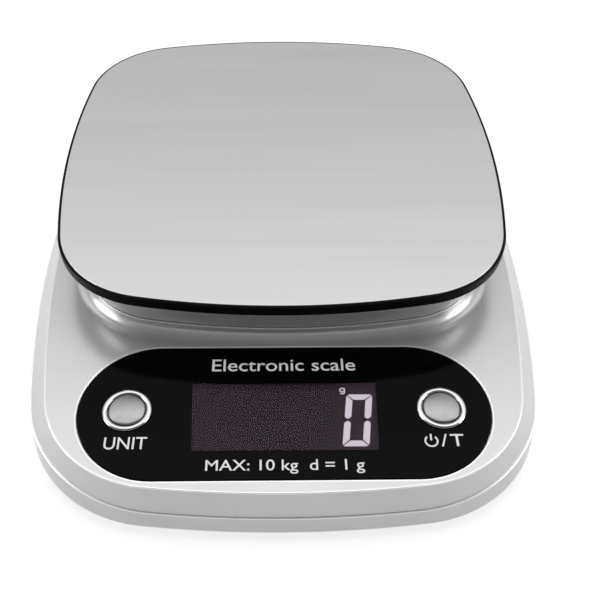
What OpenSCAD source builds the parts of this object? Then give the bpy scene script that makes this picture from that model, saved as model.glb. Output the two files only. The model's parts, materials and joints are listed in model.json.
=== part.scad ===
// Digital gram scale: a low silver body with a display panel at the front and a square weighing
// platform at the back, carried on one load cell. +X is to the right, +Y to the back, +Z up.
// The origin is on the table, under the middle of the body. All sizes are in millimetres.

/* [Body] */
// Width of the body across its middle
body_width = 180; // [176:1:190]
// Depth of the body from front to back
body_depth = 218.4; // [216:0.4:224]
// Height of the flat top face above the table
face_height = 21; // [20.8:0.1:21.4]
// Height of the seam between the two housings
seam_height = 10; // [9:0.5:11]
// Wall thickness of the housings
wall = 2.2; // [2:0.1:2.4]

/* [Platform] */
// Width of the steel plate
plate_width = 160.4; // [158:0.4:164]
// Depth of the steel plate
plate_depth = 157.2; // [155:0.4:160]
// Distance from the middle of the body back to the middle of the plate
plate_offset = 28.6; // [28:0.1:29]
// Thickness of the steel sheet
plate_thickness = 0.5; // [0.4:0.1:0.6]
// Height of the weighing surface above the table
plate_height = 42; // [41:0.5:46]
// How far the platform sinks at full load
platform_travel = 0.5; // [0.3:0.1:0.6]

/* [Display panel] */
// Length of the black panel
panel_length = 131.4; // [129:0.4:133]
// Depth of the black panel, which is also twice its end radius
panel_depth = 50.8; // [50:0.2:51.4]
// Distance from the middle of the body forward to the middle of the panel
panel_offset = 75.5; // [75:0.1:75.8]
// Width of the display window
window_width = 58.6; // [56:0.2:60]
// Depth of the display window
window_depth = 26.4; // [25:0.2:27.2]

/* [Buttons] */
// Distance from the middle to each button
button_offset = 49.9; // [49:0.1:50.4]
// Outer radius of the chrome ring
ring_radius = 7.88; // [7.6:0.02:8.2]
// Radius of the button cap
cap_radius = 5.8; // [5.5:0.1:5.9]
// How far a button travels
button_travel = 0.5; // [0.3:0.1:0.6]

/* [Base] */
// Gap between the table and the underside of the body
foot_height = 3; // [2.8:0.1:3.2]
// Radius of a rubber foot
foot_radius = 7; // [5:0.5:8]
// Thickness of the battery door
door_thickness = 1.6; // [1.5:0.1:1.7]

/* [Hidden] */

// Amount by which a cutting tool runs past the face that it cuts
over = 0.5;
// Facets of round solids and of round stretches of thin sweeps
round_fn = 64;
tube_sides = 8;
// Steps along each half side and round each corner of a plan outline
side_steps = 4;
corner_steps = 8;

// Plan outlines: [half width, half depth, side radius, end radius, corner radius]
half_w = body_width / 2;
half_d = body_depth / 2;
body_side_r = 417;
body_end_r = 383;
base_plan = [half_w, half_d, body_side_r, body_end_r, 45.5];
seam_plan = [half_w + 0.1, half_d - 1.3, body_side_r, body_end_r - 1, 49];
face_plan = [half_w - 6.9, half_d - 3.7, body_side_r - 7, body_end_r - 4, 39];
plate_plan = [plate_width / 2, plate_depth / 2, 296, 260, 35];

// Heights
floor_top = foot_height + 2.5;
collar_height = face_height + 5;
platform_bottom = collar_height + platform_travel + 0.3;
tray_bottom = plate_height - 4;
tray_floor = plate_height - plate_thickness - 0.3;
tray_rim_top = plate_height - 0.1;
rim_width = 1;

// Collar and skirt: the waist between them is set in from the rim
waist_y = plate_offset - 1.85;
waist_plan = [plate_width / 2 - 7.2, plate_depth / 2 - 5.85, 289, 254, 30];

// Display stack, from the panel down to the board
panel_bottom = face_height - 1.5;
seat_bottom = panel_bottom - 1.6;
board_top = seat_bottom - 4.9;
board_thickness = 1.6;
board_bottom = board_top - board_thickness;
board_half = [62, 19.5];
board_y = -77.5;
board_screw_at = [57, 9.5];
switch_top = board_top + 3;
lcd_half = [31.5, 16];
lcd_y = -77.5;
lcd_bottom = panel_bottom - 2.9;

// Button stack: the cap, its flange under the ring, and the switch stem
cap_top = face_height + 1.3;
flange_radius = 6.8;
ring_bottom = panel_bottom - 1.3;
ring_bore = cap_radius + 0.3;
ring_neck = 7.15;
stem_radius = 1.7;
stem_top = ring_bottom - 1.3;

// Load cell
cell_length = 80;
cell_side = 12.7;
cell_bottom = 9;
cell_top = cell_bottom + cell_side;
cell_front = plate_offset - cell_length / 2;
cell_screw_pitch = 15;
fixed_screw_y = [cell_front + 5, cell_front + 5 + cell_screw_pitch];
free_screw_y = [for (y = fixed_screw_y) 2 * plate_offset - y];
screw_clear_r = 2.2;
spacer_thickness = 1.5;

// Battery bay, with two AAA cells side by side along Y
aaa_radius = 5.25;
aaa_length = 44.5;
aaa_pitch = 11.2;
bay_x = 31.8;
bay_half_w = 11.2;
bay_front = 3;
bay_back = 54.5;
bay_wall = 1.6;
bay_top = 15.9;
aaa_front = bay_front + 3.3;
aaa_z = foot_height + door_thickness + 0.3 + aaa_radius;
seat_lip = 1.6;
seat_front = bay_front - seat_lip;
seat_back = bay_back + seat_lip;
door_gap = 0.3;
hinge_y = seat_front - 1.6;
hinge_z = foot_height + 1.2;
hinge_gap = 0.5;
hinge_nose_r = 1;
hinge_tab_x = [bay_x - 7, bay_x + 7];
hinge_tab_w = 6;

// Places of the feet and of the housing screws
foot_at = [66, 86];
housing_screw_at = [[72, -56], [76, 4], [74, 62]];

// Colours
silver_paint = [0.80, 0.80, 0.81];
dark_plastic = [0.03, 0.03, 0.035];
steel = [0.72, 0.72, 0.73];
nickel = [0.75, 0.74, 0.70];

// Points of a circular arc, without its end point
function arc(centre, r, from, to, steps) =
  [for (i = [0:steps - 1]) let (a = from + (to - from) * i / steps) centre + r * [cos(a), sin(a)]];

// Centre of the corner arc that touches the side arc and the end arc from within
function corner_centre(side_c, end_c, reach_side, reach_end) =
  let (
    span = norm(end_c - side_c),
    along = (end_c - side_c) / span,
    across = [along[1], -along[0]],
    t = (reach_side * reach_side - reach_end * reach_end + span * span) / (2 * span),
    h = sqrt(reach_side * reach_side - t * t),
    one = side_c + t * along + h * across,
    two = side_c + t * along - h * across
  )
  one[0] + one[1] > two[0] + two[1] ? one : two;

// First quarter of a plan outline: half a side, a corner and half an end, each tangent to the next
function quarter(p) =
  let (
    side_c = [p[0] - p[2], 0],
    end_c = [0, p[1] - p[3]],
    c = corner_centre(side_c, end_c, p[2] - p[4], p[3] - p[4]),
    from = atan2(c[1] - side_c[1], c[0] - side_c[0]),
    to = atan2(c[1] - end_c[1], c[0] - end_c[0])
  )
  concat(
    arc(side_c, p[2], 0, from, side_steps),
    arc(c, p[4], from, to, corner_steps),
    arc(end_c, p[3], to, 90, side_steps),
    [[0, p[1]]]
  );

// Whole plan outline, counter-clockwise, with its middle at y
function outline(p, y = 0) =
  let (q = quarter(p), m = len(q) - 1)
  concat(
    [for (i = [0:m]) [q[i][0], y + q[i][1]]],
    [for (i = [m - 1:-1:0]) [-q[i][0], y + q[i][1]]],
    [for (i = [1:m]) [-q[i][0], y - q[i][1]]],
    [for (i = [m - 1:-1:1]) [q[i][0], y - q[i][1]]]
  );

// Outline set in by d all round
function inset(p, d) = [p[0] - d, p[1] - d, p[2] - d, p[3] - d, p[4] - d];

// Outline part of the way from p to q
function between(p, q, t) = p + (q - p) * t;

// Solid between plan outlines stacked in z; each level is [plan, y of its middle, z]
module stack(levels) {
  rings = [for (l = levels) outline(l[0], l[1])];
  n = len(rings[0]);
  last = len(levels) - 1;
  points = [for (k = [0:last]) for (p = rings[k]) [p[0], p[1], levels[k][2]]];
  sides = [
    for (k = [0:last - 1]) for (i = [0:n - 1])
    let (a = k * n + i, b = k * n + (i + 1) % n)
    each [[a, a + n, b], [b, a + n, b + n]]
  ];
  bottom = [[for (i = [0:n - 1]) i]];
  top = [[for (i = [n - 1:-1:0]) last * n + i]];
  polyhedron(points = points, faces = concat(sides, bottom, top));
}

// Straight-sided solid on a plan outline
module slab(plan, y, low, high) {
  translate([0, 0, low])
    linear_extrude(height = high - low)
      polygon(outline(plan, y));
}

// Block from its low corner to its high corner
module block(low, high) {
  translate(low) cube(high - low);
}

// Upright round solid from one height to another
module post(at, r, low, high) {
  translate([at[0], at[1], low]) cylinder(r = r, h = high - low, $fn = round_fn);
}

// The outline of the display panel, grown by d
module panel_outline(d = 0) {
  r = panel_depth / 2 + d;
  reach = panel_length / 2 - panel_depth / 2;
  translate([0, -panel_offset]) {
    translate([-reach, -r]) square([2 * reach, 2 * r]);
    for (x = [-reach, reach])
      translate([x, 0]) circle(r = r, $fn = round_fn);
  }
}

// Places the child at both buttons
module at_buttons() {
  for (x = [-button_offset, button_offset])
    translate([x, -panel_offset, 0]) children();
}

// Places the child at the four corners given by half spacings
module at_corners(half, y = 0) {
  for (sx = [-1, 1], sy = [-1, 1])
    translate([sx * half[0], y + sy * half[1], 0]) children();
}

// Screw with its head at the low end and a cross recess in the head
module screw_up(head_r, head_h, shank_r, length) {
  slot_l = head_r * 1.2;
  slot_w = head_r * 0.28;
  slot_d = head_h * 0.5;
  difference() {
    union() {
      cylinder(r1 = head_r * 0.85, r2 = head_r, h = head_h * 0.4, $fn = round_fn);
      translate([0, 0, head_h * 0.4]) cylinder(r = head_r, h = head_h * 0.6, $fn = round_fn);
      translate([0, 0, head_h]) cylinder(r = shank_r, h = length - 0.6, $fn = round_fn);
      translate([0, 0, head_h + length - 0.6])
        cylinder(r1 = shank_r, r2 = shank_r * 0.6, h = 0.6, $fn = round_fn);
    }
    for (turn = [0, 90])
      rotate([0, 0, turn])
        block([-slot_l / 2, -slot_w / 2, -over], [slot_l / 2, slot_w / 2, slot_d]);
  }
}

// Smooth curve through points: position at t along the stretch from b to c
function curve_point(a, b, c, d, t) =
  0.5 * (2 * b + (c - a) * t + (2 * a - 5 * b + 4 * c - d) * t * t
    + (3 * b - a - 3 * c + d) * t * t * t);

// Points of the smooth curve through a route
function curve(route, steps) =
  let (last = len(route) - 1)
  concat(
    [for (i = [0:last - 1]) for (s = [0:steps - 1])
      curve_point(route[max(i - 1, 0)], route[i], route[i + 1], route[min(i + 2, last)], s / steps)],
    [route[last]]
  );

function unit(v) = v / norm(v);

// Direction of the line at point i
function heading(line, i) = unit(line[min(i + 1, len(line) - 1)] - line[max(i - 1, 0)]);

// Tube swept along a line of points; up must never be parallel to the line
module sweep(line, r, up = [0, 0, 1], sides = tube_sides) {
  n = len(line);
  points = [
    for (i = [0:n - 1])
    let (
      h = heading(line, i),
      across = unit(cross(h, up)),
      rise = cross(across, h)
    )
    for (k = [0:sides - 1])
    line[i] + r * (cos(360 * k / sides) * across + sin(360 * k / sides) * rise)
  ];
  skin = [
    for (i = [0:n - 2]) for (k = [0:sides - 1])
    let (a = i * sides + k, b = i * sides + (k + 1) % sides)
    each [[a, a + sides, b], [b, a + sides, b + sides]]
  ];
  first = [[for (k = [0:sides - 1]) k]];
  end = [[for (k = [sides - 1:-1:0]) (n - 1) * sides + k]];
  polyhedron(points = points, faces = concat(skin, first, end));
}

// ---------------------------------------------------------------- housings

module top_housing() {
  crease = face_height - 0.5;
  roof = face_height - wall;
  collar_roof = collar_height - wall;
  under = between(seam_plan, face_plan, 0.8);
  boss_r = 3.6;
  pilot_r = 1.25;
  boss_bottom = floor_top + 0.2;
  opening = [12, 16];
  opening_y = (free_screw_y[0] + free_screw_y[1]) / 2;
  color(silver_paint)
    difference() {
      union() {
        difference() {
          union() {
            stack([
              [seam_plan, 0, seam_height],
              [between(seam_plan, face_plan, 0.94), 0, crease],
              [inset(face_plan, 0.6), 0, face_height]
            ]);
            stack([
              [inset(waist_plan, -4.3), waist_y, face_height - 1],
              [inset(waist_plan, -4.3), waist_y, face_height],
              [inset(waist_plan, -2.6), waist_y, face_height + 0.5],
              [inset(waist_plan, -1.2), waist_y, face_height + 1.5],
              [inset(waist_plan, -0.4), waist_y, face_height + 3],
              [waist_plan, waist_y, collar_height]
            ]);
          }
          stack([
            [inset(seam_plan, wall), 0, seam_height - over],
            [inset(under, wall), 0, roof]
          ]);
          slab(inset(waist_plan, wall), waist_y, roof - over, collar_roof);
        }
        translate([0, 0, seat_bottom])
          linear_extrude(height = panel_bottom + 0.4 - seat_bottom)
            panel_outline(1.8);
        for (side = [-1, 1], at = housing_screw_at)
          post([side * at[0], at[1]], boss_r, boss_bottom, roof + 0.6);
        at_corners(board_screw_at, board_y)
          post([0, 0], 2.8, board_top, seat_bottom + 0.5);
      }
      translate([0, 0, panel_bottom])
        linear_extrude(height = 1.5 + over)
          panel_outline(0.15);
      block(
        [-lcd_half[0] - 0.5, lcd_y - lcd_half[1] - 0.5, seat_bottom - over],
        [lcd_half[0] + 0.5, lcd_y + lcd_half[1] + 0.5, panel_bottom + over]
      );
      at_buttons()
        post([0, 0], ring_neck + 0.1, seat_bottom - over, panel_bottom + over);
      for (side = [-1, 1], at = housing_screw_at)
        post([side * at[0], at[1]], pilot_r, boss_bottom - over, roof - 2);
      at_corners(board_screw_at, board_y)
        post([0, 0], 1.05, board_top - over, seat_bottom + 0.6);
      block(
        [-opening[0], opening_y - opening[1], collar_roof - over],
        [opening[0], opening_y + opening[1], collar_height + over]
      );
    }
}

module bottom_housing() {
  pad_top = cell_bottom - spacer_thickness;
  head_depth = 2.8;
  edge = 0.8;
  stop_y = (free_screw_y[0] + free_screw_y[1]) / 2;
  stop_top = cell_bottom - platform_travel - 0.2;
  color(silver_paint)
    difference() {
      union() {
        difference() {
          stack([
            [inset(base_plan, edge), 0, foot_height],
            [base_plan, 0, foot_height + edge],
            [seam_plan, 0, seam_height]
          ]);
          stack([
            [inset(base_plan, wall + 0.6), 0, floor_top],
            [inset(seam_plan, wall), 0, seam_height + over]
          ]);
        }
        block([-11, cell_front, floor_top - over], [11, cell_front + 25, pad_top]);
        block([-6, stop_y - 6, floor_top - over], [6, stop_y + 6, stop_top]);
        block(
          [bay_x - bay_half_w - bay_wall, bay_front - bay_wall, floor_top - over],
          [bay_x + bay_half_w + bay_wall, bay_back + bay_wall, bay_top + bay_wall]
        );
        block(
          [bay_x - bay_half_w - bay_wall, hinge_y - 3, floor_top - over],
          [bay_x + bay_half_w + bay_wall, bay_front - over, floor_top + 2]
        );
      }
      at_corners(foot_at)
        post([0, 0], foot_radius + 0.2, foot_height - over, foot_height + 1);
      for (y = fixed_screw_y) {
        post([0, y], 4.2, foot_height - over, foot_height + head_depth);
        post([0, y], screw_clear_r, foot_height, pad_top + over);
      }
      for (side = [-1, 1], at = housing_screw_at) {
        post([side * at[0], at[1]], 3.1, foot_height - over, foot_height + 1.3);
        post([side * at[0], at[1]], 1.5, foot_height, floor_top + over);
      }
      block(
        [bay_x - bay_half_w - seat_lip, seat_front, foot_height - over],
        [bay_x + bay_half_w + seat_lip, seat_back, foot_height + door_thickness + 0.15]
      );
      block(
        [bay_x - bay_half_w, bay_front, foot_height],
        [bay_x + bay_half_w, bay_back, bay_top]
      );
      for (x = [bay_x - aaa_pitch / 2, bay_x + aaa_pitch / 2])
        block(
          [x - 2.8, bay_front - 0.1, bay_top - over],
          [x + 2.8, bay_front + 0.8, bay_top + bay_wall + over]
        );
      hinge_pockets();
      block([bay_x - 6.5, bay_back - over, foot_height], [bay_x + 6.5, seat_back, floor_top + 1.8]);
      translate([bay_x, seat_back + 1, foot_height - 4])
        sphere(r = 6, $fn = round_fn);
    }
}

// Pockets for the noses of the door's tabs: a bore each, with a mouth from ahead round to below
module hinge_pockets() {
  bore_r = hinge_nose_r + 0.08;
  for (x = hinge_tab_x)
    translate([x - hinge_tab_w / 2 - 0.3, hinge_y, hinge_z])
      rotate([90, 0, 90]) {
        cylinder(r = bore_r, h = hinge_tab_w + 0.6, $fn = round_fn);
        linear_extrude(height = hinge_tab_w + 0.6)
          polygon([[0, 0], [-1.1, -1.9], [2, -1.9], [2, 1.3]]);
      }
}

module foot(sx, sy) {
  color(dark_plastic)
    translate([sx * foot_at[0], sy * foot_at[1], 0])
      rotate_extrude($fn = round_fn)
        polygon([
          [0, 0], [foot_radius - 0.8, 0], [foot_radius - 0.2, 0.6],
          [foot_radius, foot_height], [foot_radius, foot_height + 0.9], [0, foot_height + 0.9]
        ]);
}

module foot_front_left() {
  foot(-1, -1);
}

module foot_front_right() {
  foot(1, -1);
}

module foot_rear_left() {
  foot(-1, 1);
}

module foot_rear_right() {
  foot(1, 1);
}

module housing_screws() {
  color(nickel)
    for (side = [-1, 1], at = housing_screw_at)
      translate([side * at[0], at[1], foot_height + 0.2])
        screw_up(2.8, 1.1, 1.2, 10);
}

// ---------------------------------------------------------------- display and board

module display_panel() {
  color(dark_plastic)
    difference() {
      translate([0, 0, panel_bottom])
        linear_extrude(height = 1.5) panel_outline();
      at_buttons() post([0, 0], ring_neck + 0.1, panel_bottom - over, face_height + over);
    }
}

module lcd_glass() {
  glass = 1.1;
  film = 0.2;
  ledge = 2.2;
  x = lcd_half[0];
  y = lcd_half[1];
  color([0.16, 0.12, 0.15])
    translate([0, lcd_y, lcd_bottom]) {
      block([1 - x, ledge - y, 0], [x - 1, y - ledge, film]);
      block([-x, -y, film], [x, y, film + glass]);
      block([-x, ledge - y, film + glass], [x, y - ledge, film + 2 * glass]);
      block([1 - x, ledge + 1 - y, film + 2 * glass], [x - 1, y - ledge - 1, 2 * film + 2 * glass]);
    }
}

module lcd_frame() {
  clear = 0.3;
  rim = 2.7;
  color(dark_plastic)
    translate([0, lcd_y, 0])
      difference() {
        block(
          [-lcd_half[0] - rim, -lcd_half[1] - rim, board_top],
          [lcd_half[0] + rim, lcd_half[1] + rim, seat_bottom - 0.2]
        );
        block(
          [-lcd_half[0] - clear, -lcd_half[1] - clear, board_top - over],
          [lcd_half[0] + clear, lcd_half[1] + clear, seat_bottom + over]
        );
      }
}

module backlight() {
  color([0.92, 0.92, 0.88])
    translate([0, lcd_y, 0])
      block(
        [-window_width / 2 - 1, -window_depth / 2, board_top + 0.5],
        [window_width / 2 + 1, window_depth / 2, lcd_bottom - 0.1]
      );
}

module elastomer_strips() {
  strip = 1.8;
  color([0.75, 0.55, 0.45])
    for (side = [-1, 1])
      translate([0, lcd_y + side * (lcd_half[1] - 1.2), 0])
        block([-28, -strip / 2, board_top], [28, strip / 2, lcd_bottom + 0.2]);
}

module main_board() {
  x = board_half[0];
  y = board_half[1];
  cut = 7;
  color([0.05, 0.30, 0.16])
    difference() {
      translate([0, board_y, board_bottom])
        linear_extrude(height = board_thickness)
          polygon([[cut - x, -y], [x - cut, -y], [x, cut - y], [x, y], [-x, y], [-x, cut - y]]);
      at_corners(board_screw_at, board_y)
        post([0, 0], 1.4, board_bottom - over, board_top + over);
    }
}

module controller_blob() {
  blob_r = 7;
  blob_h = 1.7;
  dome_r = (blob_r * blob_r + blob_h * blob_h) / (2 * blob_h);
  reach = asin(blob_r / dome_r);
  color(dark_plastic)
    translate([0, board_y, board_bottom])
      rotate_extrude($fn = round_fn)
        polygon(concat(
          [[0, 0]],
          [for (i = [0:6]) let (a = reach * i / 6)
            [dome_r * sin(a), dome_r * (1 - cos(a)) - blob_h]]
        ));
}

module board_components() {
  color([0.15, 0.13, 0.12]) {
    for (i = [0:5])
      translate([-34 + 6 * i, board_y - 14, board_bottom - 0.6]) cube([2, 1.2, 0.6]);
    for (i = [0:3])
      translate([20 + 5 * i, board_y + 11, board_bottom - 0.6]) cube([1.2, 2, 0.6]);
    translate([30, board_y, board_bottom - 2.4]) cylinder(r = 2.5, h = 2.4, $fn = round_fn);
    translate([-30, board_y - 4, board_bottom - 1.6]) cube([5, 6, 1.6]);
  }
}

module board_screws() {
  color(nickel)
    at_corners(board_screw_at, board_y)
      translate([0, 0, board_bottom - 1.2])
        screw_up(2.3, 1.2, 1, 5.6);
}

module tact_switch(side) {
  half = 3;
  color([0.12, 0.12, 0.13])
    translate([side * button_offset, -panel_offset, 0])
      difference() {
        block([-half, -half, board_top], [half, half, switch_top]);
        post([0, 0], stem_radius + 0.1, board_top + 0.6, switch_top + over);
      }
}

module unit_switch() {
  tact_switch(-1);
}

module power_tare_switch() {
  tact_switch(1);
}

// ---------------------------------------------------------------- buttons

module button_ring(side) {
  lip = 0.8;
  color(nickel)
    translate([side * button_offset, -panel_offset, 0])
      rotate_extrude($fn = round_fn)
        polygon([
          [ring_bore, ring_bottom], [ring_neck, ring_bottom], [ring_neck, face_height],
          [ring_radius, face_height], [ring_radius, face_height + lip * 0.4],
          [ring_radius - 0.5, face_height + lip], [ring_bore + 0.3, face_height + lip],
          [ring_bore, face_height + lip * 0.6]
        ]);
}

module unit_button_ring() {
  button_ring(-1);
}

module power_tare_button_ring() {
  button_ring(1);
}

// Cap with a shallow dome, a flange that stops it under the ring, and a foot on the switch stem
module button_cap(side) {
  dome = 0.6;
  dome_r = (cap_radius * cap_radius + dome * dome) / (2 * dome);
  shoulder = cap_top - dome;
  reach = asin(cap_radius / dome_r);
  color(nickel)
    translate([side * button_offset, -panel_offset, 0])
      rotate_extrude($fn = round_fn)
        polygon(concat(
          [
            [0, stem_top], [2.2, stem_top], [2.2, ring_bottom - 1],
            [flange_radius, ring_bottom - 1], [flange_radius, ring_bottom - 0.3],
            [cap_radius, ring_bottom - 0.3]
          ],
          [for (i = [0:6]) let (a = reach * (1 - i / 6))
            [dome_r * sin(a), shoulder - dome_r * cos(reach) + dome_r * cos(a)]]
        ));
}

module unit_button() {
  button_cap(-1);
}

module power_tare_button() {
  button_cap(1);
}

module switch_stem(side) {
  color([0.85, 0.84, 0.80])
    post([side * button_offset, -panel_offset], stem_radius, switch_top - 1.2, stem_top);
}

module unit_switch_stem() {
  switch_stem(-1);
}

module power_tare_switch_stem() {
  switch_stem(1);
}

// ---------------------------------------------------------------- load cell

module load_cell() {
  half = cell_side / 2;
  mid_z = cell_bottom + half;
  eye_r = 4.7;
  eye_pitch = 9;
  thread_r = 2.05;
  color([0.78, 0.78, 0.80])
    difference() {
      block([-half, cell_front, cell_bottom], [half, cell_front + cell_length, cell_top]);
      for (dy = [-eye_pitch, eye_pitch])
        translate([-half - over, plate_offset + dy, mid_z])
          rotate([0, 90, 0]) cylinder(r = eye_r, h = cell_side + 2 * over, $fn = round_fn);
      block(
        [-half - over, plate_offset - eye_pitch, mid_z - 1.6],
        [half + over, plate_offset + eye_pitch, mid_z + 1.6]
      );
      for (y = concat(fixed_screw_y, free_screw_y))
        post([0, y], thread_r, cell_bottom - over, cell_top + over);
    }
}

module strain_gauges() {
  thick = 0.4;
  color([0.80, 0.55, 0.25])
    for (dy = [-9, 9]) {
      block(
        [-3, plate_offset + dy - 4, cell_top],
        [3, plate_offset + dy + 4, cell_top + thick]
      );
      block(
        [-3, plate_offset + dy - 4, cell_bottom - thick],
        [3, plate_offset + dy + 4, cell_bottom]
      );
    }
}

// Flat plate under or over the load cell, with a hole for each screw
module spacer(screw_y, low) {
  color(steel)
    difference() {
      block([-6.2, screw_y[0] - 5, low], [6.2, screw_y[1] + 5, low + spacer_thickness]);
      for (y = screw_y) post([0, y], screw_clear_r, low - over, low + spacer_thickness + over);
    }
}

module lower_spacer() {
  spacer(fixed_screw_y, cell_bottom - spacer_thickness);
}

module upper_spacer() {
  spacer([free_screw_y[1], free_screw_y[0]], cell_top);
}

module lower_screws() {
  color(nickel)
    for (y = fixed_screw_y)
      translate([0, y, foot_height + 0.3]) screw_up(3.7, 2.5, 1.97, 12);
}

module upper_screws() {
  head_h = 2.5;
  color(nickel)
    for (y = free_screw_y)
      translate([0, y, platform_bottom + 2 + head_h])
        rotate([180, 0, 0]) screw_up(3.7, head_h, 1.97, 14);
}

// ---------------------------------------------------------------- sensor leads

wire_r = 0.6;
// Spacing of the leads where they run flat, and where they leave the load cell one above another
wire_pitch = 1.9;
wire_drop = 1.6;
sensor_route = [
  [-7.3, 23.9, 17.6], [-8.4, 17, 16.4], [-11, 5, 13], [-13, -12, 10], [-18, -32, 9],
  [-28, -48, 9.8], [-35, -54, 12.4], [-37.5, -57, 14.4], [-38, -61, 13.7]
];

// One of the leads that run side by side from the load cell to the board
module sensor_wire(i, tone) {
  route = [
    for (k = [0:len(sensor_route) - 1])
    let (flat = min(1, k / 2))
    sensor_route[k] - i * [wire_pitch * flat, 0, wire_drop * (1 - flat)]
  ];
  color(tone) sweep(curve(route, 3), wire_r);
}

// Dab of silicone that holds the leads to the side of the load cell
module lead_anchor() {
  side = cell_side / 2;
  color([0.90, 0.90, 0.88])
    block([-side - 1.9, 23.9, cell_bottom + 1.6], [-side, 31, cell_top - 2.6]);
}

module sensor_wire_red() {
  sensor_wire(0, [0.75, 0.08, 0.06]);
}

module sensor_wire_black() {
  sensor_wire(1, [0.04, 0.04, 0.04]);
}

module sensor_wire_green() {
  sensor_wire(2, [0.06, 0.45, 0.16]);
}

module sensor_wire_white() {
  sensor_wire(3, [0.88, 0.88, 0.86]);
}

// ---------------------------------------------------------------- batteries

// AAA cell lying along Y; flip is 1 with its positive end to the back, -1 to the front
module aaa_cell(x, flip) {
  nub_r = 1.9;
  nub_h = 0.9;
  color([0.20, 0.22, 0.26])
    translate([x, aaa_front + aaa_length / 2, aaa_z])
      rotate([-90 * flip, 0, 0])
        rotate_extrude($fn = round_fn)
          polygon([
            [0, -aaa_length / 2], [aaa_radius - 0.5, -aaa_length / 2],
            [aaa_radius, 0.5 - aaa_length / 2], [aaa_radius, aaa_length / 2 - nub_h - 0.5],
            [aaa_radius - 0.5, aaa_length / 2 - nub_h], [nub_r, aaa_length / 2 - nub_h],
            [nub_r, aaa_length / 2], [0, aaa_length / 2]
          ]);
}

module battery_left() {
  aaa_cell(bay_x - aaa_pitch / 2, -1);
}

module battery_right() {
  aaa_cell(bay_x + aaa_pitch / 2, 1);
}

module bridge_contact() {
  thick = 0.4;
  y = bay_back - thick - 0.1;
  dimple_x = bay_x + aaa_pitch / 2;
  reach = y - aaa_front - aaa_length;
  color(nickel) {
    block([bay_x - 10, y, aaa_z - 4.5], [bay_x + 10, y + thick, aaa_z + 4.5]);
    translate([dimple_x, y + 0.1, aaa_z])
      rotate([90, 0, 0])
        cylinder(r1 = 3.4, r2 = 1.8, h = reach, $fn = round_fn);
  }
}

// Flat contact at the front of the bay, with a tab up through the roof for its lead
module front_contact(x, dimple) {
  thick = 0.4;
  y = bay_front + 0.1;
  reach = aaa_front - y - thick - 0.05;
  color(nickel) {
    block([x - 4.3, y, aaa_z - 4.5], [x + 4.3, y + thick, aaa_z + 4.5]);
    block([x - 2, y, aaa_z + 4], [x + 2, y + thick, bay_top + bay_wall + 1.4]);
    if (dimple)
      translate([x, y + thick - 0.1, aaa_z])
        rotate([-90, 0, 0])
          cylinder(r1 = 3.4, r2 = 1.8, h = reach + 0.1, $fn = round_fn);
  }
}

module positive_contact() {
  front_contact(bay_x - aaa_pitch / 2, true);
}

module negative_contact() {
  front_contact(bay_x + aaa_pitch / 2, false);
}

// Conical spring along Y, wide at its start and narrow at the cell
module cone_spring(x, from, to) {
  turns = 3;
  wire = 0.3;
  steps = 36;
  line = [for (i = [0:steps]) let (t = i / steps, a = 360 * turns * t, r = 3.9 - 1.9 * t)
    [x + r * cos(a), from + (to - from) * t, aaa_z + r * sin(a)]];
  color(nickel) sweep(line, wire, up = [0, 1, 0], sides = 6);
}

module bridge_spring() {
  cone_spring(bay_x - aaa_pitch / 2, bay_back - 0.9, aaa_front + aaa_length + 0.4);
}

module negative_spring() {
  cone_spring(bay_x + aaa_pitch / 2, bay_front + 0.9, aaa_front - 0.4);
}

battery_route = [
  [0, 2.3, 18.4], [0, -1, 18.2], [1, -10, 15.5], [3, -26, 11.2], [7, -42, 9.4],
  [10, -52, 11.4], [11.4, -56.6, 14.2], [12, -61, 13.7]
];

// Lead from a front contact to the board
module battery_wire(x, tone) {
  route = [for (p = battery_route) [x + p[0], p[1], p[2]]];
  color(tone) sweep(curve(route, 3), wire_r);
}

module battery_wire_red() {
  battery_wire(bay_x - aaa_pitch / 2, [0.75, 0.08, 0.06]);
}

module battery_wire_black() {
  battery_wire(bay_x + aaa_pitch / 2 - 7.6, [0.04, 0.04, 0.04]);
}

// ---------------------------------------------------------------- battery door

module battery_door() {
  low = foot_height;
  high = foot_height + door_thickness;
  front = seat_front + hinge_gap;
  back = seat_back - door_gap;
  half = bay_half_w + seat_lip - door_gap;
  neck = 0.5;
  color(silver_paint)
    difference() {
      union() {
        block([bay_x - half, front, low], [bay_x + half, back, high]);
        for (x = hinge_tab_x) {
          block(
            [x - hinge_tab_w / 2, hinge_y, hinge_z - neck],
            [x + hinge_tab_w / 2, front + 1, hinge_z + neck]
          );
          translate([x - hinge_tab_w / 2, hinge_y, hinge_z])
            rotate([0, 90, 0])
              cylinder(r = hinge_nose_r, h = hinge_tab_w, $fn = round_fn);
        }
        block([bay_x - 5, bay_back + 0.3, high - 0.2], [bay_x + 5, back - 0.1, high + 2]);
        for (dx = [-8, 0, 8])
          block([bay_x + dx - 0.4, bay_front + 4, high - 0.2], [bay_x + dx + 0.4, bay_back - 6, high + 0.2]);
      }
      for (i = [0:4])
        block([bay_x - 6, back - 4 - 1.6 * i, low - over], [bay_x + 6, back - 3.2 - 1.6 * i, low + 0.4]);
    }
}

// ---------------------------------------------------------------- platform

module steel_plate() {
  color(steel)
    slab(plate_plan, plate_offset, plate_height - plate_thickness, plate_height);
}

module plate_adhesive() {
  color([0.85, 0.83, 0.75])
    slab(inset(plate_plan, 6), plate_offset, tray_floor, plate_height - plate_thickness);
}

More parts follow.
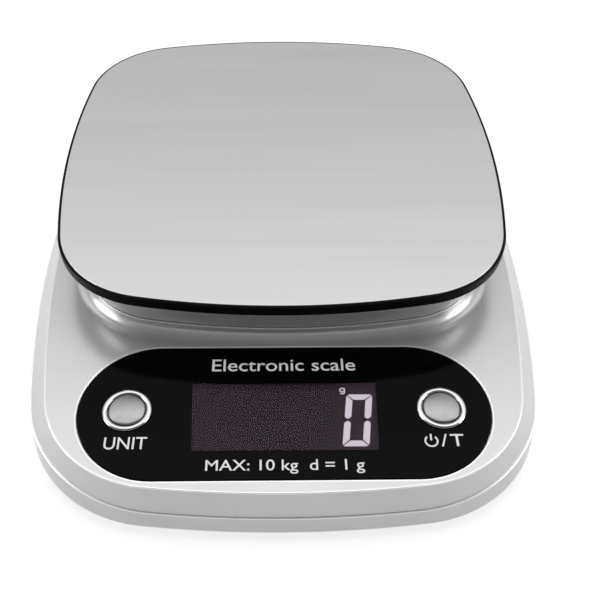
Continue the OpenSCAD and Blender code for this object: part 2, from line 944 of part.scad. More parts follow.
module platform_tray() {
  rim_plan = inset(plate_plan, -rim_width);
  color(dark_plastic)
    difference() {
      union() {
        stack([
          [inset(rim_plan, 0.5), plate_offset, tray_bottom],
          [rim_plan, plate_offset, tray_bottom + 0.5],
          [rim_plan, plate_offset, tray_rim_top - 0.5],
          [inset(rim_plan, 0.4), plate_offset, tray_rim_top]
        ]);
        slab(inset(waist_plan, 2.2), waist_y, tray_bottom - 1.6, tray_bottom + 0.5);
      }
      slab(inset(plate_plan, -0.15), plate_offset, tray_floor, plate_height + over);
      slab(inset(waist_plan, 4.2), waist_y, tray_bottom - 3, tray_floor - 1.8);
    }
}

module platform_base() {
  skirt_top = inset(plate_plan, 1);
  rise = tray_bottom - platform_bottom;
  flare = [0, 0.03, 0.12, 0.34, 0.62, 1];
  step_z = [0, 0.3, 0.55, 0.78, 0.9, 1];
  skin = 1.8;
  floor_z = platform_bottom + 2;
  boss_y = (free_screw_y[0] + free_screw_y[1]) / 2;
  boss_bottom = cell_top + spacer_thickness;
  color(silver_paint)
    difference() {
      union() {
        difference() {
          stack([for (i = [0:5]) [
            between(waist_plan, skirt_top, flare[i]),
            waist_y + (plate_offset - waist_y) * flare[i],
            platform_bottom + rise * step_z[i]
          ]]);
          stack([
            [inset(waist_plan, skin), waist_y, floor_z],
            [inset(between(waist_plan, skirt_top, flare[2]), skin), waist_y, floor_z + rise * 0.5],
            [inset(waist_plan, -1.8), waist_y, tray_bottom + over]
          ]);
        }
        block([-9, boss_y - 13, boss_bottom], [9, boss_y + 13, floor_z]);
        for (x = [-40, 0, 40])
          block([x - 0.8, waist_y - 60, floor_z - over], [x + 0.8, boss_y - 14, floor_z + 5]);
        for (y = [-10, 20])
          block([-60, y - 0.8, floor_z - over], [60, y + 0.8, floor_z + 5]);
      }
      for (y = free_screw_y)
        post([0, y], screw_clear_r, boss_bottom - over, floor_z + over);
    }
}

top_housing();
bottom_housing();
display_panel();
lcd_glass();
lcd_frame();
backlight();
elastomer_strips();
main_board();
controller_blob();
board_components();
unit_switch();
power_tare_switch();
unit_button_ring();
power_tare_button_ring();
load_cell();
strain_gauges();
lead_anchor();
lower_spacer();
lower_screws();
sensor_wire_red();
sensor_wire_black();
sensor_wire_green();
sensor_wire_white();
battery_left();
battery_right();
bridge_contact();
positive_contact();
negative_contact();
bridge_spring();
negative_spring();
battery_wire_red();
battery_wire_black();
foot_front_left();
foot_front_right();
foot_rear_left();
foot_rear_right();
housing_screws();
board_screws();
steel_plate();
plate_adhesive();
platform_tray();
platform_base();
upper_spacer();
upper_screws();
unit_button();
unit_switch_stem();
power_tare_button();
power_tare_switch_stem();
battery_door();
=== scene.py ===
"""Digital gram scale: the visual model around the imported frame. Lengths are in metres."""

import json
import math

import bmesh
import bpy
from mathutils import Matrix, Vector


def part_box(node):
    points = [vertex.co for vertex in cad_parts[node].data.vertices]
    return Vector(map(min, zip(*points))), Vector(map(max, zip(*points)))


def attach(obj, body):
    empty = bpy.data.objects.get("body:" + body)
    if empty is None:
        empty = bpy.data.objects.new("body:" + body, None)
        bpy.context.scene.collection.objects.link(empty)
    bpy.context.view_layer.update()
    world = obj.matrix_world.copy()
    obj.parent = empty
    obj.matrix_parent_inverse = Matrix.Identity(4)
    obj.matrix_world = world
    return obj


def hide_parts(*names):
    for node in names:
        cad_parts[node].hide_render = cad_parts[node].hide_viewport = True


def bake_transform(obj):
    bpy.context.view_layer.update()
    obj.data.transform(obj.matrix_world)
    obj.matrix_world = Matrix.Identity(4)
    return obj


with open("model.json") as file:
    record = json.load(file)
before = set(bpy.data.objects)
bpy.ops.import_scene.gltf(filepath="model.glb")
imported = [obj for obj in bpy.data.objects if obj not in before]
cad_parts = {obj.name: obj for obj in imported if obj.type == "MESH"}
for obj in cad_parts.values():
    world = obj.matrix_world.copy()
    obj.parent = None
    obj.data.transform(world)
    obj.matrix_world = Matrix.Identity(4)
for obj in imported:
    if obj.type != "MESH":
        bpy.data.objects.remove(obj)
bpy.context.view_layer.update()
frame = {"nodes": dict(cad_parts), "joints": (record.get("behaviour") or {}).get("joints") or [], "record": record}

MM = 0.001

# ---------------------------------------------------------------- camera

CAMERA_AT = Vector((-3.955, -234.364, 246.165)) * MM
CAMERA_YAW = 0.0183
CAMERA_PITCH = 0.8297
CAMERA_ROLL = 0.0076
CAMERA_LENS = 51.63
CAMERA_SHIFT = 0.0298


def make_camera():
    """A camera that looks down on the scale from in front, level but for a slight roll."""
    forward = Vector((
        math.sin(CAMERA_YAW) * math.cos(CAMERA_PITCH),
        math.cos(CAMERA_YAW) * math.cos(CAMERA_PITCH),
        -math.sin(CAMERA_PITCH),
    ))
    level = Vector((math.cos(CAMERA_YAW), -math.sin(CAMERA_YAW), 0))
    upright = level.cross(forward)
    across = math.cos(CAMERA_ROLL) * level + math.sin(CAMERA_ROLL) * upright
    up = across.cross(forward)
    data = bpy.data.cameras.new("camera")
    data.sensor_width = 36
    data.lens = CAMERA_LENS
    data.shift_x = CAMERA_SHIFT
    data.clip_start = 0.01
    camera = bpy.data.objects.new("camera", data)
    turn = Matrix((across, up, -forward)).transposed().to_4x4()
    camera.matrix_world = Matrix.Translation(CAMERA_AT) @ turn
    bpy.context.scene.collection.objects.link(camera)
    bpy.context.scene.camera = camera


# ---------------------------------------------------------------- plan outlines

def quarter_turn(steps, first=0):
    """The sine and cosine at each even step of a quarter turn, from the first step on."""
    angles = [math.pi / 2 * k / steps for k in range(first, steps + 1)]
    return [(math.sin(a), math.cos(a)) for a in angles]


def arc(x, y, r, start, end, steps):
    """Points on a circle about (x, y), from one angle in degrees to another."""
    angles = [math.radians(start + (end - start) * i / steps) for i in range(steps + 1)]
    return [(x + r * math.cos(a), y + r * math.sin(a)) for a in angles]


# Points along each half side and half end, and round each corner
SIDE_STEPS = 16
CORNER_STEPS = 26


class Plan:
    """A rounded plan outline: half sizes, radii of its sides, ends and corners, and its middle in y."""

    def __init__(self, half_w, half_d, side_r, end_r, corner_r, y=0.0):
        self.values = (half_w, half_d, side_r, end_r, corner_r, y)

    def grow(self, d):
        """The outline moved outwards by d all round."""
        a, b, ra, rb, rc, y = self.values
        return Plan(a + d, b + d, ra + d, rb + d, rc + d, y)

    def mix(self, other, t):
        """The outline part of the way to another."""
        return Plan(*(p + (q - p) * t for p, q in zip(self.values, other.values)))

    def quarter(self):
        """Points from the middle of the right side to the middle of the back."""
        a, b, ra, rb, rc, _ = self.values
        side_c = Vector((a - ra, 0))
        end_c = Vector((0, b - rb))
        reach_side = ra - rc
        reach_end = rb - rc
        span = (end_c - side_c).length
        along = (end_c - side_c) / span
        across = Vector((along.y, -along.x))
        t = (reach_side**2 - reach_end**2 + span**2) / (2 * span)
        h = math.sqrt(reach_side**2 - t**2)
        corner_c = max((side_c + t * along + s * h * across for s in (1, -1)), key=lambda c: c.x + c.y)
        first = math.degrees(math.atan2(corner_c.y - side_c.y, corner_c.x - side_c.x))
        second = math.degrees(math.atan2(corner_c.y - end_c.y, corner_c.x - end_c.x))
        points = arc(*side_c, ra, 0, first, SIDE_STEPS)[:-1]
        points += arc(*corner_c, rc, first, second, CORNER_STEPS)[:-1]
        points += arc(*end_c, rb, second, 90, SIDE_STEPS)[:-1]
        return points + [(0, b)]

    def ring(self, z):
        """The outline's points at height z, counter-clockwise."""
        q = self.quarter()
        y = self.values[5]
        flat = (
            [(px, py) for px, py in q]
            + [(-px, py) for px, py in q[-2::-1]]
            + [(-px, -py) for px, py in q[1:]]
            + [(px, -py) for px, py in q[-2:0:-1]]
        )
        return [Vector((px, y + py, z)) for px, py in flat]


def half_size(node):
    lo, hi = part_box(node)
    return (hi.x - lo.x) / 2, (hi.y - lo.y) / 2, (hi.y + lo.y) / 2


BODY_SIDE_R = 417 * MM
BODY_END_R = 383 * MM
body_half_w, body_half_d, _ = half_size("bottom_housing")
plate_half_w, plate_half_d, plate_y = half_size("steel_plate")

BASE = Plan(body_half_w - 0.1 * MM, body_half_d, BODY_SIDE_R, BODY_END_R, 45.5 * MM)
SEAM = Plan(body_half_w, body_half_d - 1.3 * MM, BODY_SIDE_R, BODY_END_R - 1 * MM, 49 * MM)
FACE = Plan(
    body_half_w - 7 * MM, body_half_d - 3.7 * MM, BODY_SIDE_R - 7 * MM, BODY_END_R - 4 * MM, 39 * MM
)
PLATE = Plan(plate_half_w, plate_half_d, 296 * MM, 260 * MM, 35 * MM, plate_y)
WAIST = Plan(
    plate_half_w - 7.2 * MM, plate_half_d - 5.85 * MM, 289 * MM, 254 * MM, 30 * MM, plate_y - 1.85 * MM
)

# Heights, from the frame
foot_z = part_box("bottom_housing")[0].z
seam_z = foot_z + 7 * MM
face_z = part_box("display_panel")[1].z
collar_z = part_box("top_housing")[1].z
skirt_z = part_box("steel_plate")[1].z - 15.2 * MM
plate_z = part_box("steel_plate")[1].z
tray_z = plate_z - 4 * MM
tray_floor_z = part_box("plate_adhesive")[0].z
panel_low_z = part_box("display_panel")[0].z
floor_z = foot_z + 2.5 * MM


# ---------------------------------------------------------------- mesh helpers


def new_piece(name, bm, smooth_angle=35):
    """A mesh object from a bmesh, smooth but for edges sharper than the angle."""
    bmesh.ops.recalc_face_normals(bm, faces=bm.faces)
    mesh = bpy.data.meshes.new(name)
    bm.to_mesh(mesh)
    bm.free()
    mesh.shade_smooth()
    mesh.set_sharp_from_angle(angle=math.radians(smooth_angle))
    piece = bpy.data.objects.new(name, mesh)
    bpy.context.scene.collection.objects.link(piece)
    return piece


def skin(bm, rings, close_low=True, close_high=True):
    """Adds a skin over rings of equally many points to a bmesh, with flat ends where asked."""
    rows = [[bm.verts.new(p) for p in r] for r in rings]
    n = len(rows[0])
    for low, high in zip(rows, rows[1:]):
        for i in range(n):
            j = (i + 1) % n
            bm.faces.new((low[i], low[j], high[j], high[i]))
    if close_low:
        bm.faces.new(list(reversed(rows[0])))
    if close_high:
        bm.faces.new(rows[-1])


def loft(name, levels, smooth_angle=35):
    """A solid between plan outlines: each level is (plan, z)."""
    bm = bmesh.new()
    skin(bm, [plan.ring(z) for plan, z in levels])
    return new_piece(name, bm, smooth_angle)


def circle_points(x, y, r, z, count=64):
    return [Vector((px, py, z)) for px, py in arc(x, y, r, 0, 360, count)[:-1]]


def add_lathe(bm, profile, x, y, count=96):
    """Adds a body of revolution about an upright axis; the profile is (radius, z) points."""
    rows = []
    for r, z in profile:
        if r < 1e-9:
            rows.append([bm.verts.new((x, y, z))])
        else:
            rows.append([bm.verts.new(p) for p in circle_points(x, y, r, z, count)])
    for low, high in zip(rows, rows[1:]):
        for i in range(count):
            j = (i + 1) % count
            around = (low[i % len(low)], low[j % len(low)], high[j % len(high)], high[i % len(high)])
            corners = list(dict.fromkeys(around))
            if len(corners) > 2:
                bm.faces.new(corners)


def lathe(name, profile, x, y, count=96, smooth_angle=35):
    bm = bmesh.new()
    add_lathe(bm, profile, x, y, count)
    return new_piece(name, bm, smooth_angle)


def ring_lathe(name, profile, x, y, count=96):
    """A body of revolution whose profile is a closed loop."""
    bm = bmesh.new()
    add_lathe(bm, profile + profile[:1], x, y, count)
    bmesh.ops.remove_doubles(bm, verts=bm.verts, dist=1e-7)
    return new_piece(name, bm)


def add_prism(bm, outline, low, high):
    """Adds an upright prism on an outline of (x, y) points."""
    skin(bm, [[Vector((x, y, z)) for x, y in outline] for z in (low, high)])


def add_block(bm, lo, hi):
    add_prism(bm, [(lo[0], lo[1]), (hi[0], lo[1]), (hi[0], hi[1]), (lo[0], hi[1])], lo[2], hi[2])


def add_drum(bm, x, y, r, low, high, count=64):
    skin(bm, [circle_points(x, y, r, z, count) for z in (low, high)])


def rounded_rect(x0, y0, x1, y1, r, steps=6):
    """Points of a rectangle with round corners."""
    corners = ((x1 - r, y0 + r, -90), (x1 - r, y1 - r, 0), (x0 + r, y1 - r, 90), (x0 + r, y0 + r, 180))
    points = []
    for x, y, start in corners:
        points += arc(x, y, r, start, start + 90, steps)
    return points


def add_pad(bm, at, half, r, low, high):
    """Adds an upright block with round corners about a middle in plan."""
    (x, y), (a, b) = at, half
    add_prism(bm, rounded_rect(x - a, y - b, x + a, y + b, r), low, high)


def add_side_prism(bm, outline, x0, x1):
    """Adds a prism that lies along X, on an outline of (y, z) points."""
    skin(bm, [[Vector((x, y, z)) for y, z in outline] for x in (x0, x1)])


def baked(piece):
    """Applies a piece's modifiers to its mesh."""
    graph = bpy.context.evaluated_depsgraph_get()
    mesh = bpy.data.meshes.new_from_object(piece.evaluated_get(graph))
    piece.modifiers.clear()
    piece.data = mesh
    return piece


def carve(piece, tool, operation="DIFFERENCE"):
    """Cuts a tool away from a piece, or joins it on, and removes the tool."""
    step = piece.modifiers.new("carve", "BOOLEAN")
    step.operation = operation
    step.solver = "EXACT"
    step.object = tool
    baked(piece)
    bpy.data.objects.remove(tool)
    return piece


def tool_from(add_shapes):
    """A tool object from a function that adds shapes to a bmesh; carve removes it after use."""
    bm = bmesh.new()
    add_shapes(bm)
    return new_piece("tool", bm)


def join(piece, *shapes):
    """Joins on what each of some functions adds to a bmesh."""
    for add_shapes in shapes:
        carve(piece, tool_from(add_shapes), "UNION")


def cut(piece, *shapes):
    """Cuts away what each of some functions adds to a bmesh."""
    for add_shapes in shapes:
        carve(piece, tool_from(add_shapes))


def soften(piece, width, angle=40, segments=2):
    """Rounds a piece's sharp edges a little and evens its shading."""
    bevel = piece.modifiers.new("edges", "BEVEL")
    bevel.width = width
    bevel.segments = segments
    bevel.limit_method = "ANGLE"
    bevel.angle_limit = math.radians(angle)
    even_shading(piece)
    return piece


def even_shading(piece, sharp_angle=32):
    """Marks the piece's sharp edges again and weights its normals by face area."""
    piece.data.set_sharp_from_angle(angle=math.radians(sharp_angle))
    shade = piece.modifiers.new("shading", "WEIGHTED_NORMAL")
    shade.keep_sharp = True
    return piece


def place(piece, body, material, *replaced, slot=None):
    """Gives a piece its material and its body, and hides the CAD nodes that it stands for."""
    piece.data.materials.clear()
    piece.data.materials.append(MATERIALS[material])
    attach(piece, body)
    if replaced:
        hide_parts(*replaced)
    return piece


# ---------------------------------------------------------------- materials


MATERIALS = {}


def fill(tree, step, inputs):
    """Sets a node's inputs, where each value is a number, a tuple or another node's output."""
    for name, value in inputs.items():
        socket = step.inputs[name]
        if isinstance(value, bpy.types.NodeSocket):
            tree.links.new(value, socket)
        elif socket.type == "RGBA":
            socket.default_value = (*value, 1)
        else:
            socket.default_value = value
    return step


def add_node(tree, kind, inputs, **settings):
    step = tree.nodes.new("ShaderNode" + kind)
    for name, value in settings.items():
        setattr(step, name, value)
    return fill(tree, step, inputs)


def start_material(name):
    """A new material, kept in MATERIALS, as its node tree and its shader."""
    material = bpy.data.materials.new(name)
    material.use_nodes = True
    MATERIALS[name] = material
    return material.node_tree, material.node_tree.nodes["Principled BSDF"]


def own_place(tree):
    """A point's place in the object's own coordinates."""
    return tree.nodes.new("ShaderNodeTexCoord").outputs["Object"]


def noise(tree, scale, detail=4.0, stretch=(1, 1, 1), roughness=0.55):
    """Noise over the object's own coordinates, stretched per axis."""
    at = add_node(tree, "Mapping", {"Vector": own_place(tree), "Scale": stretch}).outputs["Vector"]
    inputs = {"Vector": at, "Scale": scale, "Detail": detail, "Roughness": roughness}
    return add_node(tree, "TexNoise", inputs).outputs["Fac"]


def ranged(tree, source, low, high, from_low=0.3, from_high=0.7):
    """A source value mapped to a range."""
    inputs = {
        "Value": source, "From Min": from_low, "From Max": from_high, "To Min": low, "To Max": high,
    }
    return add_node(tree, "MapRange", inputs).outputs["Result"]


def tone(tree, factor, dark, light):
    """A colour between two, by a factor from 0 to 1; each is a colour or a socket."""
    return add_node(tree, "Mix", {0: factor, 6: dark, 7: light}, data_type="RGBA").outputs[2]


def maths(tree, operation, *values):
    """The result of a Math node on values, each a number or a socket."""
    return add_node(tree, "Math", dict(enumerate(values)), operation=operation).outputs[0]


def edge_wear_and_highlight(tree, radius=0.4 * MM, full=0.90, none=0.998):
    """A factor along edges, from 0 to 1 as the cosine of the turn within the radius falls to full. It marks worn
    edges, and in the silver paint a painted highlight.
    """
    rounded = add_node(tree, "Bevel", {"Radius": radius}, samples=6).outputs["Normal"]
    plain = tree.nodes.new("ShaderNodeNewGeometry").outputs["Normal"]
    agree = add_node(tree, "VectorMath", {0: rounded, 1: plain}, operation="DOT_PRODUCT")
    return ranged(tree, agree.outputs["Value"], 1, 0, full, none)


def bump(tree, height, strength, distance):
    """A normal that follows a height."""
    inputs = {"Height": height, "Strength": strength, "Distance": distance}
    return add_node(tree, "Bump", inputs).outputs["Normal"]


def surface(
    name, base, roughness, metallic=0.0, coat=0.0, vary=0.06, rough_vary=0.06, grain=900.0,
    grain_strength=0.08, grain_depth=0.03 * MM, blotch=40.0, wear=None, specular=0.5,
):
    """A general surface: blotchy tone, uneven roughness, fine grain, and lighter or darker worn edges."""
    tree, shader = start_material(name)
    dark = tuple(c * (1 - vary) for c in base)
    light = tuple(min(1, c * (1 + vary)) for c in base)
    colour = tone(tree, ranged(tree, noise(tree, blotch), 0, 1), dark, light)
    if wear is not None:
        colour = tone(tree, edge_wear_and_highlight(tree), colour, wear)
    smears = noise(tree, blotch * 6)
    fill(tree, shader, {
        "Base Color": colour,
        "Roughness": ranged(tree, smears, roughness - rough_vary, roughness + rough_vary),
        "Normal": bump(tree, noise(tree, grain, detail=2), grain_strength, grain_depth),
        "Metallic": metallic,
        "Coat Weight": coat,
        "Coat Roughness": 0.1,
        "Specular IOR Level": specular,
    })


def brushed_steel():
    """Sheet steel brushed from side to side: long fine streaks in tone, roughness and relief."""
    tree, shader = start_material("brushed_steel")
    streak = noise(tree, 1.0, detail=6, stretch=(14, 1500, 1500), roughness=0.7)
    band = noise(tree, 1.0, detail=3, stretch=(5, 160, 160))
    streak_share = 0.6
    mixed = maths(tree, "MULTIPLY_ADD", streak, streak_share, ranged(tree, band, 0, 1 - streak_share, 0, 1))
    fill(tree, shader, {
        "Base Color": tone(tree, ranged(tree, mixed, 0, 1), (0.44, 0.44, 0.444), (0.49, 0.49, 0.494)),
        "Roughness": ranged(tree, mixed, 0.27, 0.36),
        "Normal": bump(tree, mixed, 0.10, 0.02 * MM),
        "Metallic": 1.0,
    })


def silver_paint():
    """Satin silver paint: broad mottling, fine flakes that shine unevenly, and a painted highlight: edges and
    creases painted near white.
    """
    tree, shader = start_material("silver_paint")
    mottle = ranged(tree, noise(tree, 45, detail=3), 0, 1)
    colour = tone(tree, mottle, (0.424, 0.424, 0.427), (0.444, 0.444, 0.447))
    # painted highlight: a near-white band painted along each edge and crease, where light catches the rounding
    painted_crease_highlight = edge_wear_and_highlight(tree, 0.8 * MM, 0.96, 0.994)
    flakes = add_node(tree, "TexVoronoi", {"Vector": own_place(tree), "Scale": 7000})
    flake = add_node(tree, "SeparateColor", {"Color": flakes.outputs["Color"]}).outputs[0]
    orange_peel = noise(tree, 350, detail=2)
    fill(tree, shader, {
        # the near-white colour here is the painted highlight on the edges
        "Base Color": tone(tree, painted_crease_highlight, colour, (0.94, 0.94, 0.945)),
        "Roughness": ranged(tree, flake, 0.275, 0.295, 0, 1),
        "Normal": bump(tree, orange_peel, 0.03, 0.02 * MM),
        "Metallic": 0.6,
        "Coat Weight": 0.15,
        "Coat Roughness": 0.12,
    })


def window_tint():
    """Faintly smoky clear film over the display, with hardly any gloss of its own."""
    tree, shader = start_material("window_tint")
    fill(tree, shader, {
        "Base Color": (0.88, 0.84, 0.88),
        "Transmission Weight": 1.0,
        "IOR": 1.12,
        "Roughness": ranged(tree, noise(tree, 90), 0.0, 0.02),
    })


def glow(name, colour):
    """A lit part of the display, a little uneven as a backlight is."""
    tree, shader = start_material(name)
    dim = tuple(c * 0.93 for c in colour)
    fill(tree, shader, {
        "Base Color": (0.004, 0.004, 0.004),
        "Emission Color": tone(tree, ranged(tree, noise(tree, 120), 0, 1), dim, colour),
        "Emission Strength": 1.0,
        "Roughness": 0.4,
        "Specular IOR Level": 0.05,
        "Normal": bump(tree, noise(tree, 2000, detail=2), 0.02, 0.01 * MM),
    })


def board_green():
    """Green solder mask with lighter tracks under it."""
    tree, shader = start_material("board_green")
    tracks = add_node(tree, "TexBrick", {
        "Vector": own_place(tree),
        "Scale": 160,
        "Mortar Size": 0.05,
        "Color1": (0.010, 0.110, 0.040),
        "Color2": (0.012, 0.125, 0.046),
        "Mortar": (0.030, 0.240, 0.090),
    })
    fill(tree, shader, {
        "Base Color": tracks.outputs["Color"],
        "Roughness": ranged(tree, noise(tree, 80), 0.22, 0.36),
        "Normal": bump(tree, tracks.outputs["Fac"], 0.3, 0.03 * MM),
    })


def battery_sleeve():
    """Shrink sleeve of a plain cell: dark blue-grey, with a pale band round each end."""
    tree, shader = start_material("battery_sleeve")
    low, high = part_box("battery_left")
    y = add_node(tree, "SeparateXYZ", {"Vector": own_place(tree)}).outputs["Y"]
    from_middle = maths(tree, "ABSOLUTE", maths(tree, "SUBTRACT", y, (low.y + high.y) / 2))
    band_start = 16.5 * MM
    band = ranged(tree, from_middle, 0, 1, band_start, band_start + 0.2 * MM)
    fill(tree, shader, {
        "Base Color": tone(tree, band, (0.05, 0.07, 0.10), (0.52, 0.53, 0.53)),
        "Roughness": ranged(tree, noise(tree, 150), 0.16, 0.3),
        "Normal": bump(tree, noise(tree, 400, detail=3), 0.08, 0.03 * MM),
        "Coat Weight": 0.5,
    })


silver_paint()
brushed_steel()
window_tint()
board_green()
battery_sleeve()
glow("digit_glow", (0.74, 0.67, 0.74))
glow("lcd", (0.0145, 0.0072, 0.0130))
surface("legend_ink", (0.62, 0.62, 0.63), 0.35, grain_strength=0.03, vary=0.04)
surface(
    "panel_black", (0.0012, 0.0010, 0.0014), 0.12, rough_vary=0.03, grain=500, grain_strength=0.01,
    grain_depth=0.01 * MM, vary=0.2, specular=0.03,
)
surface(
    "tray_black", (0.002, 0.002, 0.0022), 0.42, grain=2200, grain_strength=0.12,
    wear=(0.006, 0.006, 0.006), specular=0.05,
)
surface(
    "chrome", (0.47, 0.47, 0.48), 0.16, metallic=1.0, rough_vary=0.04, vary=0.03,
    grain_strength=0.01, blotch=90,
)
surface(
    "satin_cap", (0.27, 0.27, 0.274), 0.34, metallic=1.0, rough_vary=0.05, vary=0.05, grain=1800,
    grain_strength=0.04, blotch=120,
)
surface(
    "rubber", (0.020, 0.020, 0.020), 0.78, grain=1600, grain_strength=0.35, vary=0.2,
    wear=(0.05, 0.05, 0.05), specular=0.3,
)
surface("frame_black", (0.03, 0.03, 0.032), 0.55, grain_strength=0.2, vary=0.12)
surface("switch_black", (0.04, 0.04, 0.042), 0.5, grain_strength=0.15, vary=0.12)
surface("component", (0.09, 0.085, 0.08), 0.45, grain_strength=0.15, vary=0.2)
surface("epoxy_black", (0.012, 0.012, 0.013), 0.18, grain=300, grain_strength=0.12, vary=0.2)
surface("diffuser", (0.82, 0.82, 0.77), 0.4, grain_strength=0.1, vary=0.03)
surface("elastomer", (0.55, 0.38, 0.30), 0.7, grain_strength=0.3, vary=0.15)
surface("silicone", (0.80, 0.80, 0.77), 0.45, grain=200, grain_strength=0.4, vary=0.04)
surface("gauge", (0.62, 0.36, 0.10), 0.35, grain_strength=0.1, vary=0.12, coat=0.3)
surface("adhesive", (0.78, 0.76, 0.68), 0.7, grain_strength=0.3)
surface("stem", (0.78, 0.76, 0.69), 0.45, grain_strength=0.1, vary=0.04)
surface(
    "aluminium", (0.72, 0.73, 0.75), 0.36, metallic=1.0, grain=1200, grain_strength=0.12, vary=0.05,
    wear=(0.84, 0.84, 0.85),
)
surface(
    "zinc_steel", (0.62, 0.63, 0.65), 0.34, metallic=1.0, grain_strength=0.12, vary=0.1,
    wear=(0.75, 0.75, 0.77),
)
surface("nickel", (0.72, 0.69, 0.62), 0.2, metallic=1.0, grain_strength=0.05)
for wire, wire_colour, wire_roughness, wire_vary in (
    ("wire_red", (0.50, 0.016, 0.012), 0.4, 0.08),
    ("wire_black", (0.012, 0.012, 0.012), 0.42, 0.2),
    ("wire_green", (0.012, 0.22, 0.05), 0.4, 0.08),
    ("wire_white", (0.78, 0.78, 0.75), 0.4, 0.03),
):
    surface(wire, wire_colour, wire_roughness, grain_strength=0.1, vary=wire_vary)


# ---------------------------------------------------------------- housings


def screw_places():
    """Middles of the six housing screws, from the CAD group's solids."""
    co = [v.co for v in frame["nodes"]["housing_screws"].data.vertices]
    lo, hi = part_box("housing_screws")
    places = []
    for side in (-1, 1):
        xs = [c for c in co if c.x * side > 0]
        for y0, y1 in ((lo.y, lo.y + 0.03), (-0.01, 0.02), (hi.y - 0.03, hi.y)):
            near = [c for c in xs if y0 - 1e-6 <= c.y <= y1 + 1e-6]
            x = (min(c.x for c in near) + max(c.x for c in near)) / 2
            y = (min(c.y for c in near) + max(c.y for c in near)) / 2
            places.append((x, y))
    return places


SCREWS = screw_places()
CELL_SCREW_R = 3.7 * MM
WALL = 2.2 * MM
KEY_HOLE_R = 7.25 * MM
STADIUM_STEPS = 40
FEET = ("foot_front_left", "foot_front_right", "foot_rear_left", "foot_rear_right")
HINGE = Vector(next(j["pos_m"] for j in frame["joints"] if j["name"] == "battery_door_hinge"))
HINGE_TAB_X = 7 * MM


def stadium(bm, levels):
    """Adds a solid on the display panel's outline; each level is (growth, z)."""
    lo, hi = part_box("display_panel")
    r = (hi.y - lo.y) / 2
    y = (hi.y + lo.y) / 2
    reach = hi.x - r
    rings = []
    for growth, z in levels:
        outline = []
        for centre, start in ((reach, -90), (-reach, 90)):
            outline += arc(centre, y, r + growth, start, start + 180, STADIUM_STEPS)
        rings.append([Vector((px, py, z)) for px, py in outline])
    skin(bm, rings)


def middle(node):
    lo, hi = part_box(node)
    return (lo + hi) / 2


def end_places(node, r, xs=(0,)):
    """Middles in plan of a group's round heads of radius r, at the two ends of its box in y."""
    lo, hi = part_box(node)
    return [(x, y) for x in xs for y in (lo.y + r, hi.y - r)]


def screw_hole(bm, places, r, low, high):
    """Adds a drum of radius r at each place, from low to high."""
    for x, y in places:
        add_drum(bm, x, y, r, low, high, 32)


def make_top_housing():
    """The silver shell: sloping sides, a rounded crease, a flat face, and the collar with its fillet."""
    edge = 0.2 * MM
    fillet = 4.3 * MM
    ledge = 0.5 * MM
    slope = face_z - edge - seam_z
    low_plan = SEAM.grow(-ledge)
    shoulder = low_plan.mix(FACE, 1 - edge / (face_z - seam_z))
    levels = [(SEAM.grow(-1.2 * MM), seam_z), (low_plan.grow(-0.1 * MM), seam_z)]
    levels.append((low_plan, seam_z + 0.1 * MM))
    levels += [(low_plan.mix(shoulder, k / 6), seam_z + slope * k / 6) for k in range(1, 7)]
    crease = FACE.grow(-edge)
    levels += [(shoulder.mix(crease, 1 - c), face_z - edge * (1 - s)) for s, c in quarter_turn(4, 1)]
    levels += [(FACE.grow(-1.0 * MM), face_z), (WAIST.grow(fillet + 0.4 * MM), face_z)]
    levels += [(WAIST.grow(fillet * (1 - s)), face_z + fillet * (1 - c)) for s, c in quarter_turn(8)]
    for growth, drop in ((0, 0.35), (-0.1, 0.1), (-0.35, 0), (-1.2, 0)):
        levels.append((WAIST.grow(growth * MM), collar_z - drop * MM))
    shell = loft("top_housing_shell", levels)
    roof = face_z - WALL
    collar_roof = collar_z - WALL
    inside = SEAM.grow(-WALL)
    throat = WAIST.grow(-WALL)
    carve(shell, loft("tool", [
        (inside, seam_z - 1 * MM), (inside, seam_z), (SEAM.mix(FACE, 0.8).grow(-WALL), roof),
        (throat.grow(0.3 * MM), roof), (throat, roof + 0.3 * MM), (throat, collar_roof),
    ]))
    seat_low = panel_low_z - 1.6 * MM
    board_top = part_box("main_board")[1].z
    lo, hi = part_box("board_screws")
    head_r = 2.3 * MM
    board_screws = end_places("board_screws", head_r, (lo.x + head_r, hi.x - head_r))

    def add_supports(bm):
        stadium(bm, [(1.8 * MM, seat_low), (1.8 * MM, panel_low_z + 0.5 * MM)])

    def add_bosses(bm):
        for x, y in SCREWS:
            add_drum(bm, x, y, 3.6 * MM, floor_z + 0.2 * MM, roof + 0.5 * MM)

    def add_board_bosses(bm):
        for x, y in board_screws:
            add_drum(bm, x, y, 2.8 * MM, board_top, seat_low + 0.4 * MM)

    def add_cuts(bm):
        lip = face_z - 0.2 * MM
        stadium(bm, [
            (0.15 * MM, panel_low_z), (0.15 * MM, lip), (0.35 * MM, face_z), (0.85 * MM, face_z + 0.5 * MM),
        ])
        screw_hole(bm, SCREWS, 1.25 * MM, floor_z - 1 * MM, roof - 2 * MM)
        at = (0, middle("upper_screws").y)
        add_pad(bm, at, (12 * MM, 16 * MM), 2 * MM, collar_roof - 1 * MM, collar_z + 1 * MM)

    def add_seat_cuts(bm):
        glass_lo, glass_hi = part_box("lcd_glass")
        clear = Vector((0.5 * MM, 0.5 * MM, 0))
        low, high = seat_low - 1 * MM, panel_low_z + 0.6 * MM
        add_block(bm, (*(glass_lo - clear).xy, low), (*(glass_hi + clear).xy, high))
        for node in ("unit_button", "power_tare_button"):
            at = middle(node)
            add_drum(bm, at.x, at.y, KEY_HOLE_R, low, high)
        screw_hole(bm, board_screws, 1.05 * MM, board_top - 1 * MM, seat_low - 0.5 * MM)

    join(shell, add_supports, add_bosses, add_board_bosses)
    cut(shell, add_cuts, add_seat_cuts)
    even_shading(shell)
    return place(shell, "body", "silver_paint", "top_housing")


